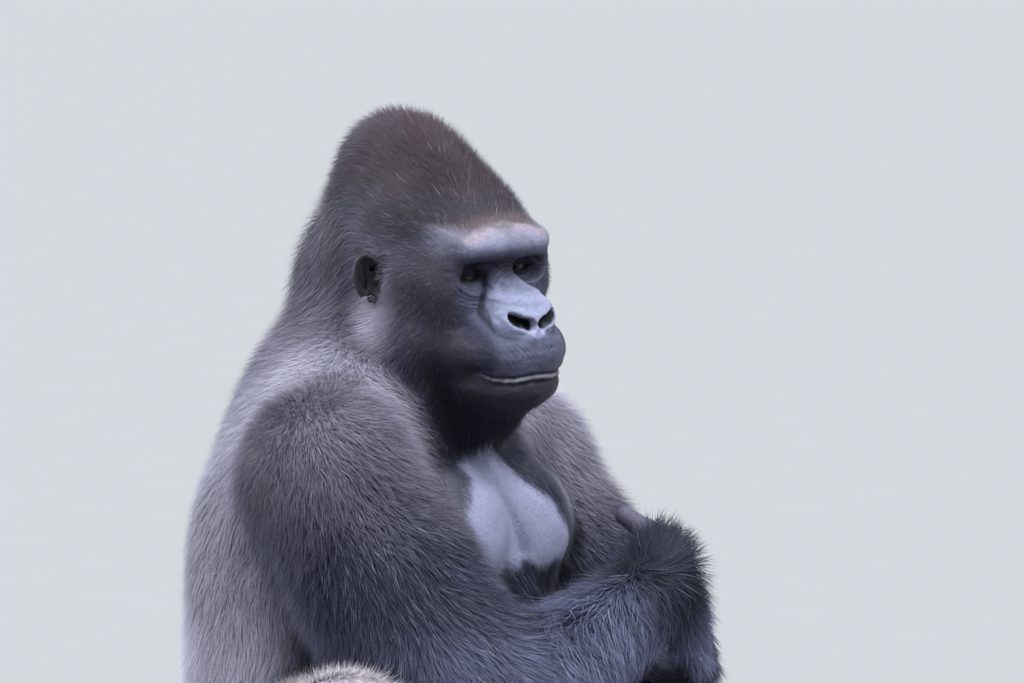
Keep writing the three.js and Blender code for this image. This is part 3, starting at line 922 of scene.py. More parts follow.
def face_colour(p, q, s):
    """Bare grey skin: pale on the brow; the nose and lower lip painted pale as highlights; dark skin and
    painted shadow round the eyes; dark skin and painted shade on the muzzle, in the nose's folds and mouth;
    dark on the chin.
    """
    x, y, z = s.T
    brow = fade(z + 2 * noise(q, 12, 46), 22, 42) * fade(-x, -86, -50) * (1 - 0.3 * bump(x, 11))
    rest, nose = head_forms(q, s, 0, True)
    beside = nose - rest
    on_nose = fade(-beside, -5, 1) * fade(-y, 18, 40)
    # The nose pad is painted paler than the face and lighter towards its tip: a painted highlight from the
    # light above
    nose_highlit = NOSE_SKIN_AND_HIGHLIGHT * (0.8 + 0.35 * fade(-z, 8, 50))[:, None]
    # The muzzle beside the nose: dark skin, darkened further as painted shade in the hollow between nose and
    # cheek
    muzzle = fade(-z, 30, 48) * fade(x, 42, 56) * fade(z, -112, -100) * (1 - on_nose)
    line = z - lip_line(x)
    # Painted shadow under the overhanging brow, over dark skin
    under_brow_shadow = 0.65 * bump(z - 15, 8) * fade(-x, -84, -62) + 0.6 * bump(x - 64, 12) * bump(z + 6, 20)
    e = beside_eye(q)
    ring = np.linalg.norm(e * vec(0.8, 1, 1.0), axis=1)
    # Painted shade in the eyes' inner corners
    inner_corner_shade = 0.8 * bump(x, 16) * bump(z - 9, 11)
    face = layered(
        np.tile(FACE_SKIN, (len(p), 1)),
        (BROW_SKIN * 0.9, brow),
        (TAN_HAIR, 0.5 * bump(z - brow_top(x) + 1, 7)),
        (nose_highlit, 0.95 * on_nose * fade(-z, -4, 20) * fade(z, -92, -76)),
        (FACE_SKIN * 0.82, 0.8 * fade(-z, 80, 96) * fade(-x, -66, -52)),
        (MUZZLE_SKIN_AND_SHADE, muzzle),
        # Painted shade in the fold beside the nose
        (SOCKET_SKIN_AND_SHADE * 0.6, 0.8 * bump(beside - 1.5, 3) * nose_fold(x, z) * fade(-z, -8, 6)),
        # A pale line along the lower lip: painted highlight
        (LIP_HIGHLIGHT, bump(line + 4.4, 2.8) * fade(-x, -58, -44)),
        (CHIN_SKIN, fade(-line, 6.5, 9) * fade(-y, -50, -30)),
        # Painted shade in the gap between the lips
        (MOUTH_SHADE, bump(line, 1.5) * fade(-x, -61, -52) * fade(-y, -24, -8)),
        # Dark skin and painted shadow under the brow and round the eyes; painted shade in the inner corners
        # and round the lids
        (SOCKET_SKIN_AND_SHADE, np.clip(under_brow_shadow, 0, 0.8)),
        (SOCKET_SKIN_AND_SHADE, 0.9 * fade(-ring, -27, -15) * fade(e[:, 2], -9, 2)),
        (SOCKET_SKIN_AND_SHADE, inner_corner_shade + 0.75 * bump(ring - 14, 3.0)),
    )
    blotch = 1 + 0.16 * noise(p, 21, 27) + 0.12 * noise(p, 7, 28)
    return face * blotch[:, None]


def skin_colour(p, masks):
    """The skin's colour at points; under the coat it is a darker shade of the hair that grows there."""
    q = in_head(p)
    s = folded(q)
    hair, pale = hair_colour(p, q, region_shares(p)[1])
    shade = 1 + 0.15 * noise(p, 30, 29)
    hole = nostril(s, 3, ((18.5, -80, -43.5), (16.5, 18, 5.4)), ((9.5, -84, -48.5), (6.8, 14, 5.6)))
    return layered(
        painted(hair, SILVER_HAIR, pale * 0.5) * 0.62,
        # The bare breasts, painted pale: partly painted light
        (CHEST_SKIN_AND_LIGHT * shade[:, None], masks["chest"]),
        (HAND_SKIN, masks["hands"]),
        (FOOT_SKIN, masks["feet"]),
        (EAR_SKIN, masks["ears"]),
        (face_colour(p, q, s), masks["face"]),
        # Painted shade inside the nostrils
        (NOSTRIL_SHADE, fade(-hole, -0.8, 1.0)),
        # Painted shade deep in the ear's hollow
        (EAR_HOLLOW_SHADE, fade(-ear_hollow(in_ear(s)), -2.5, 1.5)),
    )


def silver_share(p):
    """How silver the coat is: the saddle, flanks and rump, thinning up the nape and round to the front."""
    ragged = 26 * noise(p, 90, 31) + 14 * noise(p, 30, 32)
    back = fade(p[:, 1] + ragged, -90, 50) * fade(-p[:, 2] + ragged, -900, -620)
    return np.clip(back, 0, 1)


KNEE_HEIGHT = LEGS["right"]["knee"][2]


class Fur:
    """The mean colour of the hair at points, and the share of pale hairs among it."""

    def __init__(self, count):
        self.colour = np.tile(BLACK_HAIR, (count, 1))
        self.pale = np.full(count, 0.05)

    def paint(self, colour, share, pale=0.0):
        self.colour = painted(self.colour, colour, share)
        self.pale = self.pale + pale


def trunk_fur(fur, p, trunk, patches):
    """A silver saddle, whitest low on the back, under a greyer nape; the whitest part is partly painted light
    on the flanks lit from the side.
    """
    saddle = trunk * silver_share(p)
    patchy = saddle * (0.7 + 0.3 * patches)
    nape = trunk * fade(p[:, 2], 580, 720) * fade(p[:, 1], -60, 10)
    fur.paint(SLATE_HAIR, patchy, saddle * 0.45)
    fur.paint(SILVER_HAIR, patchy * fade(-p[:, 2], -660, -400))
    fur.paint(NAPE_HAIR, nape * (0.4 + 0.4 * patches))
    # Whiter still low on the back and flanks: pale hair, partly painted light on the flanks lit from the side
    fur.paint(SILVER_HAIR * 1.4, saddle * fade(-p[:, 2], -430, -260))


def leg_fur(fur, p, part, patches):
    """Thighs and knees bleached almost white, over dark shanks."""
    knee = fade(p[:, 2] + 25 * noise(p, 40, 53), KNEE_HEIGHT - 150, KNEE_HEIGHT + 10)
    thigh = part["thigh"] + part["shank"] * knee
    bleached = 0.45 + 0.25 * patches + 0.3 * fade(-p[:, 1], -60, 60)
    fur.paint(THIGH_HAIR, thigh * bleached, thigh * 0.3)


def arm_fur(fur, p, part, patches):
    """Slate arms, paler at the rear and low down, greyer over the shoulders with a painted sheen on their
    tops and on the far shoulder, with dark fingers and wrist tuft.
    """
    upper_arm = part["upper_arm"]
    rear = fade(p[:, 1] + 40 * noise(p, 60, 34), -190, -40)
    low = fade(-p[:, 2], -400, -330)
    pale = upper_arm * (0.07 + 0.2 * rear + 0.1 * low)
    fur.paint(SLATE_HAIR, upper_arm * (0.2 + 0.5 * rear + 0.7 * low), pale)
    # Over the shoulders the hair is painted paler: grey hair, partly a painted sheen where the shoulder tops
    # catch the light
    yoke_and_sheen = fade(p[:, 2] + 35 * noise(p, 50, 36), 420, 610) * fade(-p[:, 2], -720, -660)
    yoke_and_sheen = yoke_and_sheen * fade(np.abs(p[:, 0]), 80, 140)
    fur.paint(SHOULDER_HAIR_AND_SHEEN, upper_arm * yoke_and_sheen * (0.25 + 0.6 * patches), upper_arm * yoke_and_sheen * 0.15)
    # The far shoulder and the shoulder tops are painted paler still: partly painted light
    far = 0.12 + 0.8 * fade(p[:, 0], -60, 60)
    far = np.maximum(far, 0.85 * fade(p[:, 2] + 25 * noise(p, 45, 52), 600, 665))
    fur.paint(SILVER_HAIR, (far * upper_arm + part["trunk"]) * yoke_and_sheen * (0.6 + 0.4 * patches))
    fur.paint(SLATE_HAIR, part["forearm"] * (0.7 + 0.3 * patches))
    fur.paint(SLATE_HAIR, part["hand"] * 0.9)
    for arm in ARMS.values():
        fingers = mixed(arm["knuckles"], arm["fingertips"], 0.6)
        near = fade(-np.linalg.norm(p - fingers, axis=1), -100, -55)
        fur.paint(BLACK_HAIR * 0.6, part["hand"] * near * 0.85)
    crest = fade(26 * noise(p, 26, 51) - np.linalg.norm(p - BRISTLE_PLACE, axis=1), -112, -50)
    fur.paint(BLACK_HAIR * 0.35, crest * 0.9)
    fur.pale *= 1 - 0.8 * crest


def head_fur(fur, q, head, patches):
    """A brown crown, slate sides that turn silver behind the ears, and black cheeks."""
    x, y, z = folded(q).T
    behind = fade(y, 120, 200)
    fur.paint(HEAD_HAIR, head)
    sides = head * fade(-z, -70, 10) * fade(y, 20, 90)
    fur.paint(SLATE_HAIR, sides * (0.2 + 0.8 * behind), sides * (0.22 + 0.2 * behind))
    fur.paint(NAPE_HAIR, sides * behind * (0.35 + 0.4 * patches))
    crown = head * fade(z, 46, 100) * fade(-y, -320, -130)
    fur.paint(CROWN_HAIR, crown * (0.6 + 0.4 * patches))
    fur.pale *= 1 - 0.7 * crown
    # Darker hair on the temples and the front of the head, partly painted shade on the side of the head
    temple_shade = head * fade(z, 15, 50) * fade(-z, -185, -115) * (1 - behind)
    fur.colour *= (1 - 0.4 * temple_shade)[:, None]
    fur.pale *= 1 - 0.3 * temple_shade
    hairline = head * bump(z - brow_top(x) - 3, 5) * fade(-y, -60, -10) * fade(-x, -92, -60)
    fur.paint(TAN_HAIR, hairline * 0.35)
    cheek = head * fade(-y, -60, 0) * fade(-z, 60, 100)
    fur.paint(BLACK_HAIR * 0.45, cheek * 0.7)
    fur.pale *= 1 - 0.8 * cheek
    jowl = head * fade(-z, 40, 70) * fade(z, -190, -150) * fade(y, 10, 50) * (1 - behind)
    fur.paint(SLATE_HAIR, jowl * (0.3 + 0.4 * patches), jowl * 0.1)
    from_spot = np.linalg.norm(np.column_stack([x - 104, y - 108, (z + 84) * 0.55]), axis=1)
    behind_ear = head * fade(-from_spot, -62, -16)
    fur.paint(SILVER_HAIR * 1.3, behind_ear * (0.6 + 0.4 * patches), behind_ear * 0.6)
    brow = head * fade(-outside_face(q), -20, 2) * fade(z, 14, 36) * fade(-z, -60, -50)
    fur.paint(BROW_SKIN, brow * 0.75)


def hair_colour(p, q, part):
    """The mean colour of the hair rooted at points, and the share of pale hairs among it."""
    fur = Fur(len(p))
    patches = 0.5 + 0.5 * noise(p, 55, 33)
    trunk_fur(fur, p, part["trunk"], patches)
    leg_fur(fur, p, part, patches)
    arm_fur(fur, p, part, patches)
    head_fur(fur, q, part["head"], patches)
    return fur.colour, np.clip(fur.pale, 0, 0.8)


# ---- Lie of the coat ----

LENGTHS = dict(head=19, trunk=34, upper_arm=42, forearm=58, hand=38, thigh=31, shank=36, foot=14)
BRISTLE_PLACE = vec(45, -392, 440)  # the hair stands up here, on top of the right wrist
BRISTLE_LIE = unit(vec(0.6, -0.35, 0.75))  # up, and towards the hand


def region_shares(p):
    """How much each part of the body owns a point of the skin, and how much each kind of part does."""
    parts = parts_of(p, 0.0, False)
    weight = np.exp(-np.clip(np.stack(list(parts.values()), 1), -60, 60) / 7)
    weight /= weight.sum(1, keepdims=True)
    shares = dict(zip(parts, weight.T))
    kinds = {}
    for name, share in shares.items():
        kind = name.removesuffix("_right").removesuffix("_left")
        kinds[kind] = kinds.get(kind, 0) + share
    return shares, kinds


def along_bone(p, a, b):
    return np.clip((p - a) @ (b - a) / ((b - a) @ (b - a)), 0, 1)


def head_flow(q):
    """Hair runs from the brow back over the crown, and from the cheeks back and down."""
    x, y, z = q.T
    side = np.sign(x)
    top = np.column_stack([0 * x, np.ones_like(x), 0.25 - 0 * x])
    back = np.column_stack([0 * x, 0.25 + 0 * x, -1 + 0 * x])
    cheek = np.column_stack([side * 0.15, 0.4 + 0 * x, -0.92 + 0 * x])
    chin = np.column_stack([side * 0.1, 0.5 + 0 * x, -0.9 + 0 * x])
    flow = mixed(top, back, fade(y, 150, 270)[:, None])
    flow = mixed(flow, cheek, (fade(-z, -30, 20) * fade(np.abs(x), 20, 55))[:, None])
    return mixed(flow, chin, fade(-z, 100, 135)[:, None])


def coat_lie(p, normal, shares):
    """Direction the hair points in and its length, for points on the skin."""
    down = vec(0, 0, -1)
    flow = np.zeros_like(p)
    length = np.zeros(len(p))

    def add(part, direction, size):
        flow[:] += shares[part][:, None] * unit(direction)
        length[:] += shares[part] * size

    q = in_head(p)
    full = LENGTHS["head"] + 8 * fade(q[:, 1], 120, 260)
    add("head", head_flow(q) @ HEAD_TURN.T, mixed(5.5, full, fade(outside_face(q), -4, 48)))

    m = np.sign(p[:, 0])
    outwards, inwards = (np.column_stack([m * aside, 0 * m, -np.ones(len(p))]) for aside in (0.25, -0.25))
    front = fade(-p[:, 1], 130, 175) * fade(p[:, 2], 400, 440)
    trunk_length = (LENGTHS["trunk"] - 8 * fade(p[:, 2], 520, 680)) * (1 - 0.45 * front)
    add("trunk", mixed(outwards, inwards, fade(-p[:, 1], 60, 150)[:, None]), trunk_length)

    for side, arm in ARMS.items():
        t = along_bone(p, arm["shoulder"], arm["elbow"])
        axis = mixed(unit(arm["middle"] - arm["shoulder"]), unit(arm["elbow"] - arm["middle"]), t[:, None])
        full = LENGTHS["upper_arm"]
        add("upper_arm_" + side, axis + 0.35 * down, mixed(full - 14, full + 8, t))
        t = along_bone(p, arm["elbow"], arm["wrist"])
        along = unit(arm["wrist"] - arm["elbow"]) * mixed(0.35, -0.45, t)[:, None]
        add("forearm_" + side, along + down * mixed(0.7, 1.0, t)[:, None], LENGTHS["forearm"])
        onward, _, pointing, _ = hand_axes(arm)
        t = along_bone(p, arm["wrist"], mixed(arm["knuckles"], arm["fingertips"], 0.3))
        add("hand_" + side, onward * 0.6 + pointing + 0.7 * down, mixed(56, LENGTHS["hand"], t))
        if side == "right":
            owned = shares["forearm_right"] + shares["hand_right"] + shares["upper_arm_right"]
            near = owned * bump(np.linalg.norm(BRISTLE_PLACE - p, axis=1), 62) * fade(normal[:, 2], 0.1, 0.55)
            flow[:] = mixed(flow, BRISTLE_LIE, 0.7 * near[:, None])
            length -= 14 * near
    for side, leg in LEGS.items():
        add("thigh_" + side, unit(leg["knee"] - leg["hip"]) + 0.5 * down, LENGTHS["thigh"])
        add("shank_" + side, unit(leg["ankle"] - leg["knee"]) + 0.3 * down, LENGTHS["shank"])
        add("foot_" + side, unit(leg["toes"]) + 0.2 * down, LENGTHS["foot"])
    return unit(flow), length


# ---- Tufts ----

# Tufts on a square millimetre
DENSITY = dict(
    head=0.33, trunk=0.14, upper_arm=0.23, forearm=0.25, hand=0.28, thigh=0.095, shank=0.095, foot=0.13,
)
SHORT_HAIR = 64.0  # under this length a tuft is one straight spike
WIDTH = 1.5
STRAYS = 0.12  # the share of tufts that stand out a little beyond the rest
SINK = 1.5  # how far a root lies under the skin
LEAST_COAT = 5.0  # depth of the hair where the body's outer shape allows for none
ROUNDNESS = 0.55  # how far a hair's shading leans from the body's to its own
THIN_OUT = 1.0
LARGEST_PIECE = 185000  # triangles
CLEAR_OF_FLOOR = 4  # height under which no hair grows
TIP_OVER_FLOOR = 0.5
CLEAR_OF_SKIN = 0.3
TUFT_RIM = np.array([[-0.5, 0.0], [0.0, 0.42], [0.5, 0.0]])  # a tuft's section: across, and out of the skin
TUFT_TONES = 0.7, 1.0, 1.12  # brightness at a tuft's root, middle and tip
PATCH = 0.003  # the width of one tuft on the bake map


class Tufts:
    """Roots on the skin, and for each its mid point, tip, width, colour and owner."""

    def __init__(self, verts, quads):
        shares, kinds = region_shares(verts)
        bare = masks_of(verts)["bare"]
        normal = unit(slope(plain_field, verts)[1])
        flow, length = coat_lie(verts, normal, shares)
        flow = unit(flow - normal * (flow * normal).sum(1, keepdims=True))
        inner = -outer_field(verts)
        depth = np.maximum(inner, np.minimum(LEAST_COAT, 0.35 * length) * (1 - bare) + 0.5)
        density = sum(DENSITY[kind] * share for kind, share in kinds.items())
        density = density * (1 - bare) * (verts[:, 2] > CLEAR_OF_FLOOR)

        corners = np.vstack([quads[:, [0, 1, 2]], quads[:, [0, 2, 3]]])
        a, b, c = (verts[corners[:, i]] for i in range(3))
        area = np.linalg.norm(np.cross(b - a, c - a), axis=1) / 2
        wanted = area * density[corners].mean(1) * THIN_OUT
        count = np.floor(wanted + RNG.random(len(wanted))).astype(int)
        owner = np.repeat(np.arange(len(corners)), count)
        u, v = RNG.random((2, len(owner)))
        over = u + v > 1
        u[over], v[over] = 1 - u[over], 1 - v[over]
        share = np.stack([1 - u - v, u, v], 1)

        def spread(values):
            picked = values[corners[owner]]
            return np.einsum("ij,ij...->i...", share, picked)

        self.root = spread(verts)
        self.normal = unit(spread(normal))
        self.flow = unit(spread(flow))
        self.length = spread(length)
        self.depth = spread(depth)
        self.over = spread(depth - inner)
        self.bare = spread(bare)
        self.kinds = {kind: spread(values) for kind, values in kinds.items()}
        self.names = list(shares)
        self.part = np.stack([spread(values) for values in shares.values()], 1).argmax(1)
        self.comb()

    def comb(self):
        """Turns, lifts and bends each tuft so that its tip lies in the coat's outer layer."""
        n = len(self.root)
        p = self.root
        from_bristle = np.linalg.norm(p - BRISTLE_PLACE, axis=1)
        ruffled = bump(from_bristle, 75)
        swing = 0.26 * noise(p, 42, 41) + 0.2 * noise(p, 15, 42) + RNG.normal(0, 0.13, n)
        swing += ruffled * (0.8 * noise(p, 11, 44) + RNG.normal(0, 0.5, n))
        across = np.cross(self.flow, self.normal)
        self.flow = self.flow * np.cos(swing)[:, None] + across * np.sin(swing)[:, None]
        self.across = np.cross(self.flow, self.normal)
        self.length *= RNG.uniform(0.72, 1.15, n) * (1 - 0.55 * self.bare)
        self.depth *= 1 - 0.6 * self.bare
        layer = np.sqrt(RNG.uniform(0.16, 1.0, n)) * (1 + 0.1 * noise(p, 22, 43))
        layer = np.where(RNG.random(n) < STRAYS, RNG.uniform(1.0, 1.3, n), layer)
        standing = bump(from_bristle, 55) * fade(self.normal[:, 2], 0.1, 0.55)
        rise = np.minimum(self.depth * layer, self.length * 0.8)
        rise = mixed(rise, self.length * 0.8, 0.8 * standing)
        reach = np.sqrt(np.maximum(self.length ** 2 - rise ** 2, 1))
        drift = self.across * (RNG.normal(0, 0.07, n) * self.length)[:, None]
        middle = p + self.flow * (reach * 0.48)[:, None] + self.normal * (rise * 0.78)[:, None]
        tip = p + self.flow * reach[:, None] + self.normal * rise[:, None] + drift
        for place, level in ((middle, 0.74), (tip, 1.0)):
            missing = (self.over - self.depth * (1 - layer * level) - outer_field(place)) * (1 - standing)
            place += self.normal * np.clip(missing, -0.8 * self.depth - 4, 0.8 * self.depth + 4)[:, None]
        above = np.minimum(plain_field(middle), plain_field(tip))
        keep = (above > CLEAR_OF_SKIN) & (tip[:, 2] > TIP_OVER_FLOOR) & (middle[:, 2] > TIP_OVER_FLOOR)
        self.middle, self.tip = middle, tip
        for name in ("root", "normal", "across", "length", "part", "middle", "tip"):
            setattr(self, name, getattr(self, name)[keep])
        self.kinds = {kind: values[keep] for kind, values in self.kinds.items()}
        self.paint()

    def paint(self):
        n = len(self.root)
        q = in_head(self.root)
        colour, pale = hair_colour(self.root, q, self.kinds)
        strand = RNG.random(n)
        colour = painted(colour, SILVER_HAIR, np.where(strand < pale, RNG.uniform(0.15, 0.45, n), 0))
        tone = 1 + 0.14 * noise(self.root, 28, 44) + 0.14 * noise(self.root, 9, 45)
        colour = colour * (RNG.uniform(0.8, 1.2, n) * tone)[:, None]
        self.colour = np.clip(colour, 0.002, 0.9)
        self.width = WIDTH * RNG.uniform(0.7, 1.15, n) * np.clip(self.length / 40, 0.42, 1.0)
        self.is_long = self.length >= SHORT_HAIR

    def groups(self):
        """Splits the tufts by part of the body, and a big part by height, so that each piece stays small."""
        triangles = np.where(self.is_long, 10, 4)
        for i, name in enumerate(self.names):
            picked = np.flatnonzero(self.part == i)
            if not len(picked):
                continue
            picked = picked[np.argsort(self.root[picked, 2] + 0.6 * self.root[picked, 1])]
            total = np.cumsum(triangles[picked])
            pieces = int(np.ceil(total[-1] / LARGEST_PIECE))
            cut = np.searchsorted(total, total[-1] * np.arange(1, pieces) / pieces)
            for k, chunk in enumerate(np.split(picked, cut)):
                yield f"coat_{name}_{k + 1}" if pieces > 1 else f"coat_{name}", name, chunk

    def spikes(self, group, rings, places, offset):
        """Three-sided spikes: a ring of corners at the root, in a long tuft one halfway, and the tip."""
        across, normal = self.across[group][:, None], self.normal[group][:, None]
        width = self.width[group][:, None, None]
        rim = (across * TUFT_RIM[None, :, :1] + normal * TUFT_RIM[None, :, 1:]) * width
        stack = [self.root[group][:, None] - normal * SINK + rim]
        if rings == 2:
            stack.append(self.middle[group][:, None] + rim * 0.8)
        stack.append(self.tip[group][:, None])
        corner = np.concatenate(stack, 1)
        per = corner.shape[1]
        tone = np.append(np.repeat(TUFT_TONES[:rings], 3), TUFT_TONES[2])
        patch = [(u, 0.5 * ring) for ring in range(rings) for u in (0, 0.5, 1)] + [(0.5, 1)]
        shape = [(2, 1, 0)]
        for r in range(rings - 1):
            for i in range(3):
                j = (i + 1) % 3
                shape += [(3 * r + i, 3 * r + j, 3 * r + 3 + j), (3 * r + i, 3 * r + 3 + j, 3 * r + 3 + i)]
        last = 3 * (rings - 1)
        shape += [(last + i, last + (i + 1) % 3, per - 1) for i in range(3)]
        index = np.arange(len(group))[:, None, None] * per + np.array(shape)[None] + offset
        colour = self.colour[group][:, None] * tone[None, :, None]
        round_side = np.concatenate([unit(rim)] * rings + [np.zeros_like(rim[:, :1])], 1)
        leaning = unit(normal + ROUNDNESS * round_side)
        place = places[:, None] + np.array(patch) * PATCH
        return [a.reshape(-1, a.shape[-1]) for a in (corner, index, colour, place, leaning)]

    def mesh_of(self, chosen):
        """Corner points, triangles, colours, bake-map places and shading normals of the chosen tufts."""
        places = unwrapped(self.root[chosen], self.normal[chosen])
        long = self.is_long[chosen]
        made = []
        offset = 0
        for picked, rings in ((long, 2), (~long, 1)):
            if picked.any():
                made.append(self.spikes(chosen[picked], rings, places[picked], offset))
                offset += len(made[-1][0])
        return [np.concatenate(each) for each in zip(*made)]


def unwrapped(p, normal):
    """Places on a map of the skin, which is cut into six sides by where it faces and laid out in a grid."""
    facing = np.abs(normal).argmax(1)
    side = facing * 2 + (normal[np.arange(len(p)), facing] > 0)
    out = np.zeros((len(p), 2))
    for i in range(6):
        on = side == i
        if not on.any():
            continue
        axes = [axis for axis in range(3) if axis != i // 2]
        flat = p[on][:, axes]
        low = flat.min(0)
        span = np.maximum(flat.max(0) - low, 1e-6)
        cell = vec(i % 3 / 3, i // 3 / 2)
        out[on] = cell + 0.006 + (flat - low) / span * (vec(1 / 3, 1 / 2) - 0.012 - PATCH)
    return out


# ---- Blender pieces ----

def frame_shift():
    """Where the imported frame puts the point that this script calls 0, from the middle between the eyes."""
    boxes = [np.array(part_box(name)).reshape(2, 3) for name in ("eye_right", "eye_left")]
    return np.mean(boxes, axis=(0, 1)) * 1000 - from_head(EYE_MIDDLE)


SHIFT = frame_shift()


def to_metres(p):
    return (np.asarray(p, float) + SHIFT) / 1000


def colour_layer(mesh, name, colours):
    layer = mesh.color_attributes.new(name, "FLOAT_COLOR", "POINT")
    rgba = np.ones((len(colours), 4), np.float32)
    rgba[:, :3] = colours
    layer.data.foreach_set("color", rgba.ravel())


def add_piece(name, mesh, material, replaced=()):
    mesh.materials.append(material)
    piece = bpy.data.objects.new(name, mesh)
    bpy.context.scene.collection.objects.link(piece)
    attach(piece, "root")
    if replaced:
        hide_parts(*replaced)
    return piece


def mesh_from(name, points, faces):
    mesh = bpy.data.meshes.new(name)
    if isinstance(faces, np.ndarray):
        sides = faces.shape[1]
        mesh.vertices.add(len(points))
        mesh.vertices.foreach_set("co", to_metres(points).astype(np.float32).ravel())
        mesh.loops.add(faces.size)
        mesh.loops.foreach_set("vertex_index", faces.astype(np.int32).ravel())
        mesh.polygons.add(len(faces))
        mesh.polygons.foreach_set("loop_start", np.arange(0, faces.size, sides, dtype=np.int32))
        mesh.update(calc_edges=True)
    else:
        mesh.from_pydata(to_metres(points).tolist(), [], faces)
    mesh.polygons.foreach_set("use_smooth", np.ones(len(mesh.polygons), bool))
    mesh.update()
    return mesh


class Nodes:
    """A material's node tree, with short ways to add the few kinds of node that it needs."""

    def __init__(self, name):
        self.material = bpy.data.materials.new(name)
        self.material.use_nodes = True
        self.tree = self.material.node_tree
        self.shader = self.tree.nodes["Principled BSDF"]

    def add(self, kind, **settings):
        node = self.tree.nodes.new(kind)
        for key, value in settings.items():
            setattr(node, key, value)
        return node

    def link(self, a, b):
        self.tree.links.new(a, b)

    def set(self, **sockets):
        for key, value in sockets.items():
            self.shader.inputs[key.replace("_", " ")].default_value = value

    def position(self):
        return self.add("ShaderNodeTexCoord").outputs["Object"]

    def noise(self, scale, detail=3.0, rough=0.55):
        node = self.add("ShaderNodeTexNoise")
        node.inputs["Scale"].default_value = scale
        node.inputs["Detail"].default_value = detail
        node.inputs["Roughness"].default_value = rough
        self.link(self.position(), node.inputs["Vector"])
        return node.outputs["Fac"]

    def cells(self, scale):
        node = self.add("ShaderNodeTexVoronoi", feature="DISTANCE_TO_EDGE")
        node.inputs["Scale"].default_value = scale
        self.link(self.position(), node.inputs["Vector"])
        return node.outputs["Distance"]

    def ranged(self, value, low, high, to_low, to_high):
        node = self.add("ShaderNodeMapRange")
        for key, number in zip(("From Min", "From Max", "To Min", "To Max"), (low, high, to_low, to_high)):
            node.inputs[key].default_value = number
        self.link(value, node.inputs["Value"])
        return node.outputs["Result"]

    def painted_colour(self, layer, factor):
        """The mesh's own colours times a factor from noise."""
        colours = self.add("ShaderNodeVertexColor", layer_name=layer)
        scale = self.add("ShaderNodeVectorMath", operation="SCALE")
        self.link(colours.outputs["Color"], scale.inputs[0])
        self.link(factor, scale.inputs["Scale"])
        self.link(scale.outputs["Vector"], self.shader.inputs["Base Color"])

    def bumps(self, *layers):
        """Each layer is a height, its depth in metres and its strength."""
        normal = None
        for height, depth, strength in layers:
            node = self.add("ShaderNodeBump")
            node.inputs["Distance"].default_value = depth
            node.inputs["Strength"].default_value = strength
            self.link(height, node.inputs["Height"])
            if normal is not None:
                self.link(normal, node.inputs["Normal"])
            normal = node.outputs["Normal"]
        self.link(normal, self.shader.inputs["Normal"])


def skin_material():
    """Bare leathery skin: fine creased grain over broader unevenness, with a soft shine."""
    n = Nodes("gorilla_skin")
    grain = n.noise(260, 4, 0.6)
    broad = n.noise(60, 3, 0.6)
    n.painted_colour("skin_colour", n.ranged(grain, 0.3, 0.7, 0.84, 1.14))
    n.link(n.ranged(broad, 0.3, 0.7, 0.4, 0.56), n.shader.inputs["Roughness"])
    n.bumps((broad, 0.0025, 0.35), (n.ranged(n.cells(330), 0, 0.12, 0, 1), 0.0007, 0.5), (grain, 0.0010, 0.5))
    n.set(Specular_IOR_Level=0.2, Specular_Tint=(0.78, 0.87, 1.0, 1.0))
    return n.material


def coat_material():
    n = Nodes("gorilla_coat")
    fine = n.noise(900, 2, 0.6)
    n.painted_colour("coat_colour", n.ranged(fine, 0.3, 0.7, 0.86, 1.12))
    n.link(n.ranged(n.noise(14, 2), 0.35, 0.65, 0.5, 0.64), n.shader.inputs["Roughness"])
    n.bumps((fine, 0.0006, 0.3))
    n.set(Specular_IOR_Level=0.16, Specular_Tint=(0.78, 0.87, 1.0, 1.0))
    n.set(Sheen_Weight=0.08, Sheen_Roughness=0.35, Sheen_Tint=(0.82, 0.86, 1.0, 1.0))
    return n.material


def eye_material():
    n = Nodes("gorilla_eye")
    n.painted_colour("eye_colour", n.ranged(n.noise(1500, 3), 0.3, 0.7, 0.8, 1.2))
    n.link(n.ranged(n.noise(300, 2), 0.3, 0.7, 0.1, 0.16), n.shader.inputs["Roughness"])
    n.bumps((n.noise(500, 2), 0.0002, 0.1))
    n.set(Coat_Weight=0.3, Coat_Roughness=0.03, Specular_IOR_Level=0.15)
    return n.material


def nail_material():
    n = Nodes("gorilla_nail")
    streaks = n.noise(420, 3, 0.6)
    n.painted_colour("nail_colour", n.ranged(streaks, 0.3, 0.7, 0.75, 1.25))
    n.link(n.ranged(streaks, 0.3, 0.7, 0.28, 0.42), n.shader.inputs["Roughness"])
    n.bumps((streaks, 0.0004, 0.5))
    return n.material


def stage_material(name, colour):
    n = Nodes(name)
    speck = n.noise(6, 3)
    ramp = n.add("ShaderNodeMix", data_type="RGBA")
    ramp.inputs[6].default_value = (*[c * 0.96 for c in colour], 1)
    ramp.inputs[7].default_value = (*colour, 1)
    n.link(speck, ramp.inputs[0])
    n.link(ramp.outputs[2], n.shader.inputs["Base Color"])
    n.set(Roughness=0.9, Specular_IOR_Level=0.1)
    return n.material


# ---- Eyes and nails ----

PUPIL = 3.1
IRIS = 7.6
CORNEA = 8.4  # radius of the clear bulge's rim
CORNEA_BULGE = 1.1
GAZE = unit(vec(-0.46, -0.88, 0.08))
PUPIL_BLACK = srgb(4, 3, 3)
IRIS_RIM = srgb(16, 10, 8)
IRIS_BROWN = srgb(76, 60, 51)
IRIS_CENTRE = srgb(46, 35, 30)
EYE_WHITE = srgb(66, 46, 42)
EYE_CORNER = srgb(34, 25, 23)
NAIL_GREY = srgb(70, 64, 66)
NAIL_BEND = 58  # degrees from the middle of a nail to its side
NAIL_OUTSIDE = 0.9
NAIL_INSIDE = -1.6
FINGER_NAIL = 11.5, 17  # radius and length
THUMB_NAIL = 11.5, 18
TOE_NAIL = 12, 15
BIG_TOE_NAIL = 15, 21


